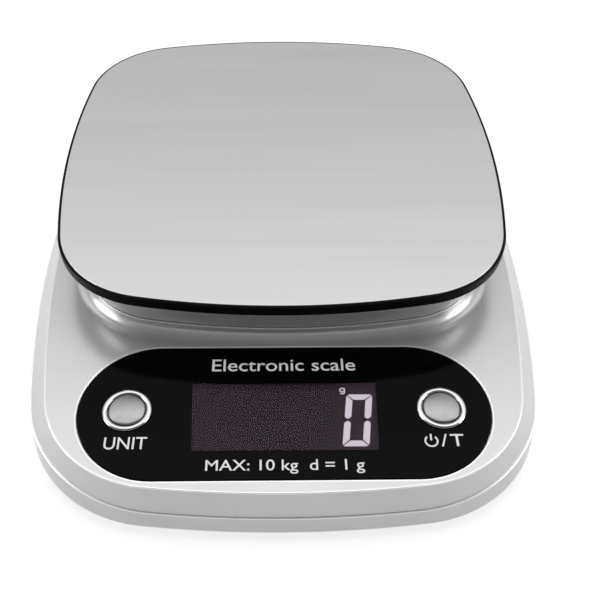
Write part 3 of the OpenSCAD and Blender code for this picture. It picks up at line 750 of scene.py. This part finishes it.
def make_bottom_housing():
    """The lower tray of the body, with its floor, pads, battery bay and recesses."""
    edge = 1.3 * MM
    round_top = 0.2 * MM
    edge_z = foot_z + edge
    wall_h = seam_z - round_top - edge_z
    levels = [(BASE.grow(-edge - 0.6 * MM), foot_z)]
    levels += [(BASE.grow(-edge * (1 - s)), foot_z + edge * (1 - c)) for s, c in quarter_turn(6)]
    levels += [(BASE.mix(SEAM, k / 4), edge_z + wall_h * k / 4) for k in range(1, 5)]
    for s, c in quarter_turn(4, 1):
        levels.append((SEAM.grow(-round_top * (1 - c)), seam_z - round_top * (1 - s)))
    levels.append((SEAM.grow(-1.2 * MM), seam_z))
    shell = loft("bottom_housing_shell", levels)
    inside = SEAM.grow(-WALL)
    carve(shell, loft("tool", [
        (BASE.grow(-WALL - 0.6 * MM), floor_z), (inside, seam_z), (inside, seam_z + 1 * MM)
    ]))
    cell_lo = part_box("load_cell")[0]
    pad_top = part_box("lower_spacer")[0].z
    pad_low = floor_z - 0.5 * MM
    cells_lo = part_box("battery_left")[0]
    cells_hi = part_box("battery_right")[1]
    bay_x = (cells_lo.x + cells_hi.x) / 2
    bay_half = 11.2 * MM
    bay_wall = 1.6 * MM
    bay_front = cells_lo.y - 3.3 * MM
    bay_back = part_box("battery_left")[1].y + 3.7 * MM
    bay_y = (bay_front + bay_back) / 2
    bay_half_l = (bay_back - bay_front) / 2
    bay_top = 15.9 * MM
    seat_back = bay_back + bay_wall
    seat = ((bay_x, bay_y), (bay_half + bay_wall, bay_half_l + bay_wall))
    cell_screws = end_places("lower_screws", CELL_SCREW_R)
    below = foot_z - 1 * MM

    def add_pads(bm):
        pad_half = 12.5 * MM
        add_pad(bm, (0, cell_lo.y + pad_half), (11 * MM, pad_half), 1.5 * MM, pad_low, pad_top)
        stop_at = (0, middle("upper_screws").y)
        add_pad(bm, stop_at, (6 * MM, 6 * MM), 1 * MM, pad_low, cell_lo.z - 0.7 * MM)
        add_pad(bm, *seat, 1 * MM, pad_low, bay_top + bay_wall)

    def add_hinge_rib(bm):
        reach = bay_half + bay_wall
        add_block(
            bm, (bay_x - reach, bay_front - 6.2 * MM, pad_low),
            (bay_x + reach, bay_front - 0.5 * MM, floor_z + 2 * MM),
        )

    def add_recesses(bm):
        for node in FEET:
            at = middle(node)
            add_drum(bm, at.x, at.y, 7.2 * MM, below, foot_z + 1 * MM, 96)
        for x, y in SCREWS:
            add_drum(bm, x, y, 3.1 * MM, below, foot_z + 1.3 * MM)
        for x, y in cell_screws:
            add_drum(bm, x, y, 4.2 * MM, below, foot_z + 2.8 * MM)
        add_pad(bm, *seat, 0.6 * MM, below, foot_z + 1.75 * MM)

    def add_holes(bm):
        screw_hole(bm, SCREWS, 1.5 * MM, foot_z + 0.5 * MM, floor_z + 1 * MM)
        screw_hole(bm, cell_screws, 2.2 * MM, foot_z + 1 * MM, pad_top + 1 * MM)
        lo = (bay_x - bay_half, bay_front, foot_z + 1 * MM)
        add_block(bm, lo, (bay_x + bay_half, bay_back, bay_top))

    def add_pockets(bm):
        half = 3.3 * MM
        nose = arc(HINGE.y, HINGE.z, 1.08 * MM, 33, 240, 23)
        throat = [(HINGE.y + y * MM, HINGE.z + z * MM) for y, z in ((-1.1, -1.9), (2, -1.9), (2, 1.3))]
        for x in (bay_x - HINGE_TAB_X, bay_x + HINGE_TAB_X):
            add_side_prism(bm, nose + throat, x - half, x + half)
        latch_half = 6.5 * MM
        add_block(
            bm, (bay_x - latch_half, bay_back - 0.5 * MM, foot_z + 0.5 * MM),
            (bay_x + latch_half, seat_back - 0.01 * MM, floor_z + 1.8 * MM),
        )

    def add_finger_dip(bm):
        at = Matrix.Translation((bay_x, seat_back + 1 * MM, foot_z - 4 * MM))
        bmesh.ops.create_uvsphere(bm, u_segments=64, v_segments=40, radius=6 * MM, matrix=at)

    join(shell, add_pads, add_hinge_rib)
    cut(shell, add_recesses, add_holes, add_pockets, add_finger_dip)
    even_shading(shell)
    return place(shell, "body", "silver_paint", "bottom_housing")


# ---------------------------------------------------------------- display and keys

WINDOW_Y = (-90.7 * MM, -64.3 * MM)
WINDOW_HALF_W = (28.8 * MM, 29.9 * MM)


def window_outline(gap=0.0):
    """The display window's corners: a little wider at the back, drawn in by a gap."""
    (front, back), (y0, y1) = WINDOW_HALF_W, WINDOW_Y
    return [
        (gap - front, y0 + gap), (front - gap, y0 + gap), (back - gap, y1 - gap), (gap - back, y1 - gap)
    ]


def make_panel():
    """The glossy black panel, with a hole for each key and an opening for the display's lens."""
    bm = bmesh.new()
    edge = 0.3 * MM
    levels = [(0, panel_low_z)]
    levels += [(-edge * (1 - c), face_z - edge * (1 - s)) for s, c in quarter_turn(5)]
    levels.append((-0.8 * MM, face_z))
    stadium(bm, levels)
    panel = new_piece("display_panel_black", bm)

    def add_cuts(tool):
        for node in ("unit_button", "power_tare_button"):
            at = middle(node)
            add_drum(tool, at.x, at.y, KEY_HOLE_R, panel_low_z - 1 * MM, face_z + 1 * MM, 96)
        add_prism(tool, window_outline(), panel_low_z - 1 * MM, face_z + 1 * MM)

    cut(panel, add_cuts)
    even_shading(panel)
    place(panel, "body", "panel_black", "display_panel")
    bm = bmesh.new()
    add_prism(bm, window_outline(0.02 * MM), panel_low_z, face_z)
    lens = new_piece("display_lens", bm)
    soften(lens, 0.06 * MM)
    place(lens, "body", "window_tint", slot="panel_black")


def make_button(name, cap_node, ring_node, body):
    """A domed cap in a rounded chrome ring."""
    at = middle(cap_node)
    ring_lo, ring_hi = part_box(ring_node)
    bore = 6.1 * MM
    neck = 7.15 * MM
    outer = (ring_hi.x - ring_lo.x) / 2
    top = ring_hi.z
    crown = [(outer, face_z + 0.02 * MM)]
    wide = (outer - bore) / 2
    mid = (outer + bore) / 2
    base = face_z + 0.15 * MM
    for k in range(17):
        angle = math.pi * k / 16
        crown.append((mid + wide * math.cos(angle), base + (top - base) * math.sin(angle) ** 0.8))
    profile = [(bore, ring_lo.z), (neck, ring_lo.z), (neck, face_z + 0.02 * MM)] + crown
    ring = ring_lathe(ring_node + "_chrome", profile, at.x, at.y)
    even_shading(ring)
    place(ring, "body", "chrome", ring_node)
    lo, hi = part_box(cap_node)
    cap_r = 5.8 * MM
    flange_r = (hi.x - lo.x) / 2
    flange_low = ring_lo.z - 1.0 * MM
    flange_high = ring_lo.z - 0.3 * MM
    edge_z = hi.z - 0.75 * MM
    stem_r = 2.2 * MM
    wall_top = edge_z - 0.3 * MM
    profile = [
        (0, lo.z), (stem_r, lo.z), (stem_r, flange_low), (flange_r, flange_low), (flange_r, flange_high),
        (cap_r, flange_high),
    ]
    round_r = 0.5 * MM
    profile += arc(cap_r - round_r, wall_top, round_r, 0, 75, 5)
    start_r, start_z = profile[-1]
    for k in range(1, 13):
        share = k / 12
        profile.append((start_r * (1 - share), start_z + (hi.z - start_z) * (1 - (1 - share) ** 2)))
    cap = lathe(name + "_cap", profile, at.x, at.y, smooth_angle=50)
    even_shading(cap)
    place(cap, body, "satin_cap", cap_node)


# ---------------------------------------------------------------- legends and digits

INK = 0.02 * MM
FONT_CAP = 0.729


def flat_text(name, text, weight, spacing):
    """The outline mesh of a line of text one unit high, with its letters spread by a spacing factor."""
    curve = bpy.data.curves.new(name, "FONT")
    curve.body = text
    curve.offset = weight
    curve.space_character = spacing
    curve.resolution_u = 6
    holder = bpy.data.objects.new(name, curve)
    bpy.context.scene.collection.objects.link(holder)
    graph = bpy.context.evaluated_depsgraph_get()
    mesh = bpy.data.meshes.new_from_object(holder.evaluated_get(graph))
    bpy.data.objects.remove(holder)
    return mesh


def span(mesh):
    xs = [v.co.x for v in mesh.vertices]
    return min(xs), max(xs)


def words(name, text, x0, x1, baseline, height, weight=0.004, widest=1.15):
    """Raised lettering on the panel: a line widened a little, then spaced out, until it fills a width."""
    size = height / FONT_CAP
    wanted = (x1 - x0) / size
    widths = []
    for spacing in (1.0, 1.5):
        low, high = span(flat_text(name, text, weight, spacing))
        widths.append(high - low)
    stretch = min(wanted / widths[0], widest)
    spacing = 1.0 + 0.5 * (wanted / stretch - widths[0]) / (widths[1] - widths[0])
    mesh = flat_text(name, text, weight, spacing)
    low, _ = span(mesh)
    for v in mesh.vertices:
        v.co = Vector((x0 + (v.co.x - low) * size * stretch, baseline + v.co.y * size, face_z + INK))
    bm = bmesh.new()
    bm.from_mesh(mesh)
    thicken(bm)
    piece = new_piece(name, bm)
    place(piece, "body", "legend_ink", slot="panel_black")


def thicken(bm):
    """Gives a flat ink shape its underside and sides."""
    made = bmesh.ops.extrude_face_region(bm, geom=bm.faces[:])
    for v in made["geom"]:
        if isinstance(v, bmesh.types.BMVert):
            v.co.z -= INK * 0.9


def stroke(bm, points, width, z):
    """Adds a flat stroke of even width along (x, y) points."""
    half = width / 2
    rows = []
    for i, p in enumerate(points):
        before = Vector(points[max(i - 1, 0)])
        after = Vector(points[min(i + 1, len(points) - 1)])
        along = (after - before).normalized()
        side = Vector((-along.y, along.x)) * half
        here = Vector(p)
        rows.append((bm.verts.new((*(here + side), z)), bm.verts.new((*(here - side), z))))
    for (a, b), (c, d) in zip(rows, rows[1:]):
        bm.faces.new((a, b, d, c))


def make_power_symbol(x, y, r, width):
    """A ring open at the top with an upright bar in the gap."""
    bm = bmesh.new()
    stroke(bm, arc(x, y, r, 128, 410, 47), width, face_z + INK)
    stroke(bm, [(x, y + r * 0.1), (x, y + r * 1.35)], width, face_z + INK)
    thicken(bm)
    place(new_piece("legend_power", bm), "body", "legend_ink", slot="panel_black")


def make_segments():
    """A zero on the display: six bars with mitred ends, leaning a little to the right."""
    low, high = -88.4 * MM, -68.7 * MM
    left, right = 17.7 * MM, 26.1 * MM
    lean = 2.5 / 19.7
    bar = 2.1 * MM
    gap = 0.32 * MM
    mid = (low + high) / 2
    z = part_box("lcd_glass")[1].z + 0.03 * MM
    slant = 0.42 * bar
    up_left = [
        (left, mid + gap + slant), (left, high - gap - slant * 0.6), (left + slant * 0.4, high - gap * 2),
        (left + bar, high - bar - gap), (left + bar, mid + gap + slant), (left + bar / 2, mid + gap),
    ]
    top = [
        (left + slant * 0.7, high), (right - slant * 0.7, high), (right - slant * 0.5, high - gap),
        (right - bar - gap, high - bar), (left + bar + gap, high - bar), (left + slant * 0.5, high - gap),
    ]
    flip_x = [(left + right - x, y) for x, y in up_left]
    bars = [up_left, flip_x, top]
    bars += [[(x, 2 * mid - y) for x, y in loop] for loop in bars]
    bm = bmesh.new()
    for loop in bars:
        verts = [bm.verts.new((x + lean * (y - low), y, z)) for x, y in loop]
        bm.faces.new(verts)
    bmesh.ops.recalc_face_normals(bm, faces=bm.faces)
    thicken(bm)
    place(new_piece("display_zero", bm), "body", "digit_glow", slot="lcd")


def make_unit_letter():
    """The small unit letter on the display: a bowl with a tail."""
    x, y = 18.9 * MM, -66.9 * MM
    r = 0.72 * MM
    width = 0.42 * MM
    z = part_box("lcd_glass")[1].z + 0.03 * MM
    bm = bmesh.new()
    stroke(bm, arc(x, y, r, 0, 360, 24), width, z)
    hook = [(x + r, y + r + 0.1 * MM), (x + r, y - r * 1.1)]
    hook += arc(x, y - r * 1.1, r, 0, -150, 10)
    stroke(bm, hook, width, z)
    bmesh.ops.remove_doubles(bm, verts=bm.verts, dist=1e-7)
    thicken(bm)
    place(new_piece("display_unit_letter", bm), "body", "digit_glow", slot="lcd")


# ---------------------------------------------------------------- platform


def make_platform():
    """The steel plate in its black tray, and the silver skirt that flares up to the tray."""
    edge = 0.16 * MM
    low = plate_z - 0.5 * MM
    levels = [(PLATE.grow(-0.05 * MM), low)]
    levels += [(PLATE.grow(-edge * (1 - c)), plate_z - edge * (1 - s)) for s, c in quarter_turn(4)]
    levels.append((PLATE.grow(-0.6 * MM), plate_z))
    plate = loft("steel_plate_brushed", levels)
    even_shading(plate)
    place(plate, "platform", "brushed_steel", "steel_plate")

    rim = PLATE.grow(1 * MM)
    rim_top = plate_z - 0.1 * MM
    round_r = 0.55 * MM
    spigot = WAIST.grow(-2.2 * MM)
    levels = [(spigot, tray_z - 1.6 * MM), (spigot, tray_z), (rim.grow(-1.6 * MM), tray_z)]
    levels += [(rim.grow(-round_r * (1 - s)), tray_z + round_r * (1 - c)) for s, c in quarter_turn(5)]
    levels += [(rim.grow(-round_r * (1 - c)), rim_top - round_r * (1 - s)) for s, c in quarter_turn(5)]
    inner = PLATE.grow(0.15 * MM)
    levels += [
        (PLATE.grow(0.3 * MM), rim_top), (inner, rim_top - 0.12 * MM), (inner, tray_floor_z),
        (PLATE.grow(-2 * MM), tray_floor_z),
    ]
    tray = loft("platform_tray_black", levels)
    even_shading(tray)
    place(tray, "platform", "tray_black", "platform_tray")

    rise = tray_z - skirt_z
    lip = PLATE.grow(-1 * MM)
    wall_levels = [(WAIST.grow(-1.2 * MM), skirt_z), (WAIST.grow(-0.3 * MM), skirt_z)]
    wall_levels += [(WAIST.grow(-0.08 * MM), skirt_z + 0.1 * MM), (WAIST, skirt_z + 0.3 * MM)]
    for s, c in quarter_turn(14):
        wall_levels.append((WAIST.mix(lip, 1 - c), skirt_z + rise * (0.32 + 0.68 * s)))
    skirt = loft("platform_skirt", wall_levels)
    hollow = loft("tool", [
        (WAIST.grow(-1.8 * MM), skirt_z + 2 * MM), (WAIST.grow(-1.8 * MM), skirt_z + rise * 0.6),
        (WAIST.grow(1.4 * MM), tray_z - 0.5 * MM), (WAIST.grow(1.6 * MM), tray_z + 1 * MM),
    ])
    carve(skirt, hollow)
    boss_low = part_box("upper_spacer")[1].z

    def add_boss(bm):
        at = (0, middle("upper_screws").y)
        add_pad(bm, at, (9 * MM, 13 * MM), 1.5 * MM, boss_low, skirt_z + 1.5 * MM)

    def add_screw_holes(bm):
        places = end_places("upper_screws", CELL_SCREW_R)
        screw_hole(bm, places, 2.2 * MM, boss_low - 1 * MM, skirt_z + 3 * MM)

    join(skirt, add_boss)
    cut(skirt, add_screw_holes)
    even_shading(skirt)
    place(skirt, "platform", "silver_paint", "platform_base")


# ---------------------------------------------------------------- underside


def make_foot(node):
    """A rubber foot with a ridged sole."""
    at = middle(node)
    lo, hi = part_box(node)
    r = (hi.x - lo.x) / 2
    groove_z = lo.z + 0.35 * MM
    round_r = 0.7 * MM
    flat_r = r - 0.8 * MM
    profile = [(0, groove_z), (1.2 * MM, groove_z)]
    x = 1.5 * MM
    while x < r - 2.2 * MM:
        profile += [(x, lo.z), (x + 0.7 * MM, lo.z), (x + 0.95 * MM, groove_z), (x + 1.35 * MM, groove_z)]
        x += 1.6 * MM
    profile += [(x, lo.z), (flat_r, lo.z)]
    profile += [(flat_r + round_r * s, lo.z + round_r * (1 - c)) for s, c in quarter_turn(5, 1)]
    profile += [(r, hi.z - 0.9 * MM), (r, hi.z - 0.15 * MM), (r - 0.15 * MM, hi.z), (0, hi.z)]
    foot = lathe(node + "_rubber", profile, at.x, at.y)
    even_shading(foot)
    place(foot, "body", "rubber", node)


def make_screws(node, places, head_r, head_h, low, shank_r, length):
    """Screws driven from below: a domed head with a tapered cross recess, and a threaded shank."""
    bm = bmesh.new()
    pitch = shank_r * 0.6
    root = shank_r * 0.86
    dome = head_h * 0.45
    neck = low + head_h
    chamfer = 0.1 * MM
    profile = [(0, low)]
    profile += [(head_r * s, low + dome * (1 - c)) for s, c in quarter_turn(8, 1)]
    profile += [(head_r, neck - chamfer), (head_r - chamfer, neck), (root, neck)]
    z = neck + 0.4 * MM
    while z < neck + length - 1.2 * MM:
        profile += [(root, z), (shank_r, z + pitch * 0.45), (shank_r, z + pitch * 0.55)]
        z += pitch
    profile += [(root, z), (root * 0.55, neck + length), (0, neck + length)]
    for x, y in places:
        add_lathe(bm, profile, x, y, 48)
    screws = new_piece(node + "_cross_head", bm)
    reach = head_r * 0.6
    mouth = (low - 0.5 * MM, reach * 1.1, head_r * 0.16)
    bottom = (low + head_h * 0.55, reach * 0.45, head_r * 0.09)
    corners = ((-1, -1), (1, -1), (1, 1), (-1, 1))
    for along, across in ((Vector((1, 0, 0)), Vector((0, 1, 0))), (Vector((0, 1, 0)), Vector((-1, 0, 0)))):
        bm = bmesh.new()
        for x, y in places:
            rings = []
            for z, r, half in (mouth, bottom):
                rings.append([Vector((x, y, z)) + along * r * a + across * half * b for a, b in corners])
            skin(bm, rings)
        carve(screws, new_piece("tool", bm))
    even_shading(screws)
    place(screws, "body", "zinc_steel", node)


def make_battery_door():
    """The battery door: a thin plate with grip grooves, two hinge tabs, a latch tongue and inner ribs."""
    lo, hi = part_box("battery_door")
    mid_x = (lo.x + hi.x) / 2
    high = lo.z + 1.6 * MM
    front = HINGE.y + 2.1 * MM
    back = hi.y
    levels = []
    for inset, rise in ((0.25 * MM, 0), (0.07 * MM, 0.07 * MM), (0, 0.25 * MM), (0, high - lo.z)):
        outline = rounded_rect(lo.x + inset, front + inset, hi.x - inset, back - inset, 0.5 * MM)
        levels.append([Vector((x, y, lo.z + rise)) for x, y in outline])
    bm = bmesh.new()
    skin(bm, levels)
    door = new_piece("battery_door_cover", bm)

    def add_tabs(tool):
        tab_half = 3 * MM
        neck_y = front + 1 * MM
        nose = arc(HINGE.y, HINGE.z, 1.0 * MM, 30, 330, 24)
        nose += [(neck_y, HINGE.z - 0.5 * MM), (neck_y, HINGE.z + 0.35 * MM)]
        for x in (mid_x - HINGE_TAB_X, mid_x + HINGE_TAB_X):
            add_side_prism(tool, nose, x - tab_half, x + tab_half)

    def add_inner_ribs(tool):
        half = 0.4 * MM
        for x in (mid_x - 8 * MM, mid_x, mid_x + 8 * MM):
            add_block(
                tool, (x - half, front + 5.5 * MM, high - 0.2 * MM),
                (x + half, back - 8.3 * MM, high + 0.2 * MM),
            )

    def add_tongue(tool):
        half = 5 * MM
        add_block(
            tool, (mid_x - half, back - 1.3 * MM, high - 0.2 * MM),
            (mid_x + half, back - 0.1 * MM, high + 2 * MM),
        )

    def add_grooves(tool):
        for k in range(5):
            y = back - 3.6 * MM - 1.6 * MM * k
            z = lo.z - 0.05 * MM
            oval = arc(0, 0, 1, 0, 360, 16)[:-1]
            rim = [(y + 0.5 * MM * a, z + 0.45 * MM * b) for a, b in oval]
            add_side_prism(tool, rim, mid_x - 6 * MM, mid_x + 6 * MM)

    join(door, add_tabs, add_inner_ribs, add_tongue)
    cut(door, add_grooves)
    even_shading(door)
    place(door, "door", "silver_paint", "battery_door")


EYES_Y = (plate_y - 9 * MM, plate_y + 9 * MM)


def place_bent(piece, material, replaced):
    """Gives a piece its material, bakes its modifiers and placement into its mesh, and hides the CAD node it
    stands for.
    """
    baked(piece)
    piece.data.materials.clear()
    piece.data.materials.append(MATERIALS[material])
    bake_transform(piece)
    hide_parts(replaced)


def make_load_cell():
    """The aluminium load cell: a bar with two joined eyes at its middle and two threads at each end."""
    lo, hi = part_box("load_cell")
    edge = 0.4 * MM
    steps = 40
    rings = []
    for k in range(steps + 1):
        y = lo.y + (hi.y - lo.y) * k / steps
        inset = edge if k in (0, steps) else 0.0
        x = hi.x - inset
        low, high = lo.z + inset, hi.z - inset
        outline = (
            (-x + edge, low), (x - edge, low), (x, low + edge), (x, high - edge),
            (x - edge, high), (-x + edge, high), (-x, high - edge), (-x, low + edge),
        )
        rings.append([Vector((px, y, pz)) for px, pz in outline])
    bm = bmesh.new()
    skin(bm, rings)
    cell = new_piece("load_cell_bar", bm)
    mid_z = (lo.z + hi.z) / 2
    sides = (lo.x - 1 * MM, hi.x + 1 * MM)

    def add_eyes(tool):
        for y in EYES_Y:
            add_side_prism(tool, arc(y, mid_z, 4.7 * MM, 0, 360, 48)[:-1], *sides)

    def add_slot(tool):
        half = 1.6 * MM
        add_block(tool, (sides[0], EYES_Y[0], mid_z - half), (sides[1], EYES_Y[1], mid_z + half))

    def add_threads(tool):
        for node in ("lower_screws", "upper_screws"):
            places = end_places(node, CELL_SCREW_R)
            screw_hole(tool, places, 2.05 * MM, lo.z - 1 * MM, hi.z + 1 * MM)

    cut(cell, add_eyes, add_slot, add_threads)
    even_shading(cell)
    place_bent(cell, "aluminium", "load_cell")
    bm = bmesh.new()
    gauge_lo, gauge_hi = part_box("strain_gauges")
    for y in EYES_Y:
        for low, high in ((gauge_lo.z, lo.z), (hi.z, gauge_hi.z)):
            add_pad(bm, (0, y), (3 * MM, 4 * MM), 0.6 * MM, low, high)
    gauges = new_piece("strain_gauge_foils", bm)
    even_shading(gauges)
    place_bent(gauges, "gauge", "strain_gauges")


def finish_cad_nodes():
    """Gives each CAD node that is kept the material that its record slot names."""
    slots = {s["node"]: s["material_slot"] for s in frame["record"]["subparts"]}
    for name, node in frame["nodes"].items():
        if node.hide_render:
            continue
        node.data.materials.clear()
        node.data.materials.append(MATERIALS[slots[name]])


# ---------------------------------------------------------------- stage


# Brightness of the dome from the front horizon (0) over the top to the back horizon (180 degrees)
DOME_ARCH = (
    (0, 0.30), (35, 0.26), (60, 0.15), (80, 0.15), (94, 0.90), (102, 2.50), (121, 2.50), (132, 1.30),
    (149, 0.85), (180, 0.60)
)
# Brightness out to each side, from the horizon to straight above
DOME_SIDE = (0.40, 0.90)
# Brightness at the horizon, and the heights (as the sine of the elevation) between which it fades
DOME_HORIZON = 1.1
DOME_HORIZON_Z = (0.02, 0.09)


def make_dome():
    """A soft studio dome: bright overhead and behind, darker in front, with paler sides and horizon."""
    world = bpy.data.worlds.new("dome")
    world.use_nodes = True
    tree = world.node_tree
    toward = tree.nodes.new("ShaderNodeTexCoord").outputs["Generated"]
    x, y, z = add_node(tree, "SeparateXYZ", {"Vector": toward}).outputs
    angle = maths(tree, "ARCTAN2", z, maths(tree, "MULTIPLY", y, -1))
    ramp = add_node(tree, "ValToRGB", {"Fac": ranged(tree, angle, 0, 1, 0, math.pi)})
    peak = max(value for _, value in DOME_ARCH)
    elements = ramp.color_ramp.elements
    for element, (degrees, value) in zip(elements, (DOME_ARCH[0], DOME_ARCH[-1])):
        element.position = degrees / 180
        element.color = (*[value / peak] * 3, 1)
    for degrees, value in DOME_ARCH[1:-1]:
        elements.new(degrees / 180).color = (*[value / peak] * 3, 1)
    sideways = ranged(tree, maths(tree, "ABSOLUTE", x), 0, 1, 0.5, 0.95)
    side = ranged(tree, z, DOME_SIDE[0] / peak, DOME_SIDE[1] / peak, 0, 1)
    near_horizon = ranged(tree, z, 1, 0, *DOME_HORIZON_Z)
    whole = add_node(tree, "Mix", {0: sideways, 2: ramp.outputs["Color"], 3: side}).outputs[0]
    final = add_node(tree, "Mix", {0: near_horizon, 2: whole, 3: DOME_HORIZON / peak}).outputs[0]
    fill(tree, tree.nodes["Background"], {"Color": final, "Strength": peak})
    bpy.context.scene.world = world


def make_stage():
    """A plain pale floor, soft light from a dome, and a broad light to each side."""
    bm = bmesh.new()
    half = 3.0
    just_under_feet = -0.05 * MM
    corners = ((-half, -half), (half, -half), (half, half), (-half, half))
    bm.faces.new([bm.verts.new((x, y, just_under_feet)) for x, y in corners])
    floor = new_piece("floor", bm)
    tree, shader = start_material("floor_white")
    fill(tree, shader, {
        "Base Color": tone(tree, noise(tree, 8), (0.39, 0.39, 0.39), (0.41, 0.41, 0.41)),
        "Emission Color": (1, 1, 1),
        "Emission Strength": 0.68,
        "Roughness": 0.9,
        "Specular IOR Level": 0.1,
    })
    floor.data.materials.append(MATERIALS["floor_white"])

    make_dome()
    for name, side in (("light_left", -1), ("light_right", 1)):
        data = bpy.data.lights.new(name, "AREA")
        data.shape = "RECTANGLE"
        data.size = 0.4
        data.size_y = 0.4
        data.energy = 4.5
        lamp = bpy.data.objects.new(name, data)
        lamp.location = (side * 0.85, -0.14, 0.20)
        lamp.rotation_mode = "QUATERNION"
        toward = Vector((0, 0, 0.02)) - lamp.location
        lamp.rotation_quaternion = toward.to_track_quat("-Z", "Y")
        bpy.context.scene.collection.objects.link(lamp)
    bpy.context.scene.view_settings.view_transform = "Standard"


make_camera()
make_stage()
make_top_housing()
make_bottom_housing()
make_panel()
make_button("unit_button", "unit_button", "unit_button_ring", "unit_key")
make_button("power_tare_button", "power_tare_button", "power_tare_button_ring", "power_tare_key")
words("legend_title", "Electronic scale", -23.7 * MM, 23.6 * MM, -60.0 * MM, 5.2 * MM)
words("legend_capacity", "MAX: 10 kg  d = 1 g", -24.2 * MM, 23.9 * MM, -97.6 * MM, 3.9 * MM)
words("legend_unit", "UNIT", -55.8 * MM, -42.6 * MM, -89.8 * MM, 4.6 * MM)
words("legend_tare", "/T", 48.2 * MM, 55.3 * MM, -89.6 * MM, 4.6 * MM)
make_power_symbol(45.2 * MM, -87.7 * MM, 1.9 * MM, 0.55 * MM)
make_segments()
make_unit_letter()
make_platform()
for foot in FEET:
    make_foot(foot)
make_screws("housing_screws", SCREWS, 2.8 * MM, 1.1 * MM, foot_z + 0.2 * MM, 1.2 * MM, 10 * MM)
make_screws(
    "lower_screws", end_places("lower_screws", CELL_SCREW_R), CELL_SCREW_R, 2.5 * MM, foot_z + 0.3 * MM,
    1.97 * MM, 12 * MM,
)
make_battery_door()
make_load_cell()
finish_cad_nodes()
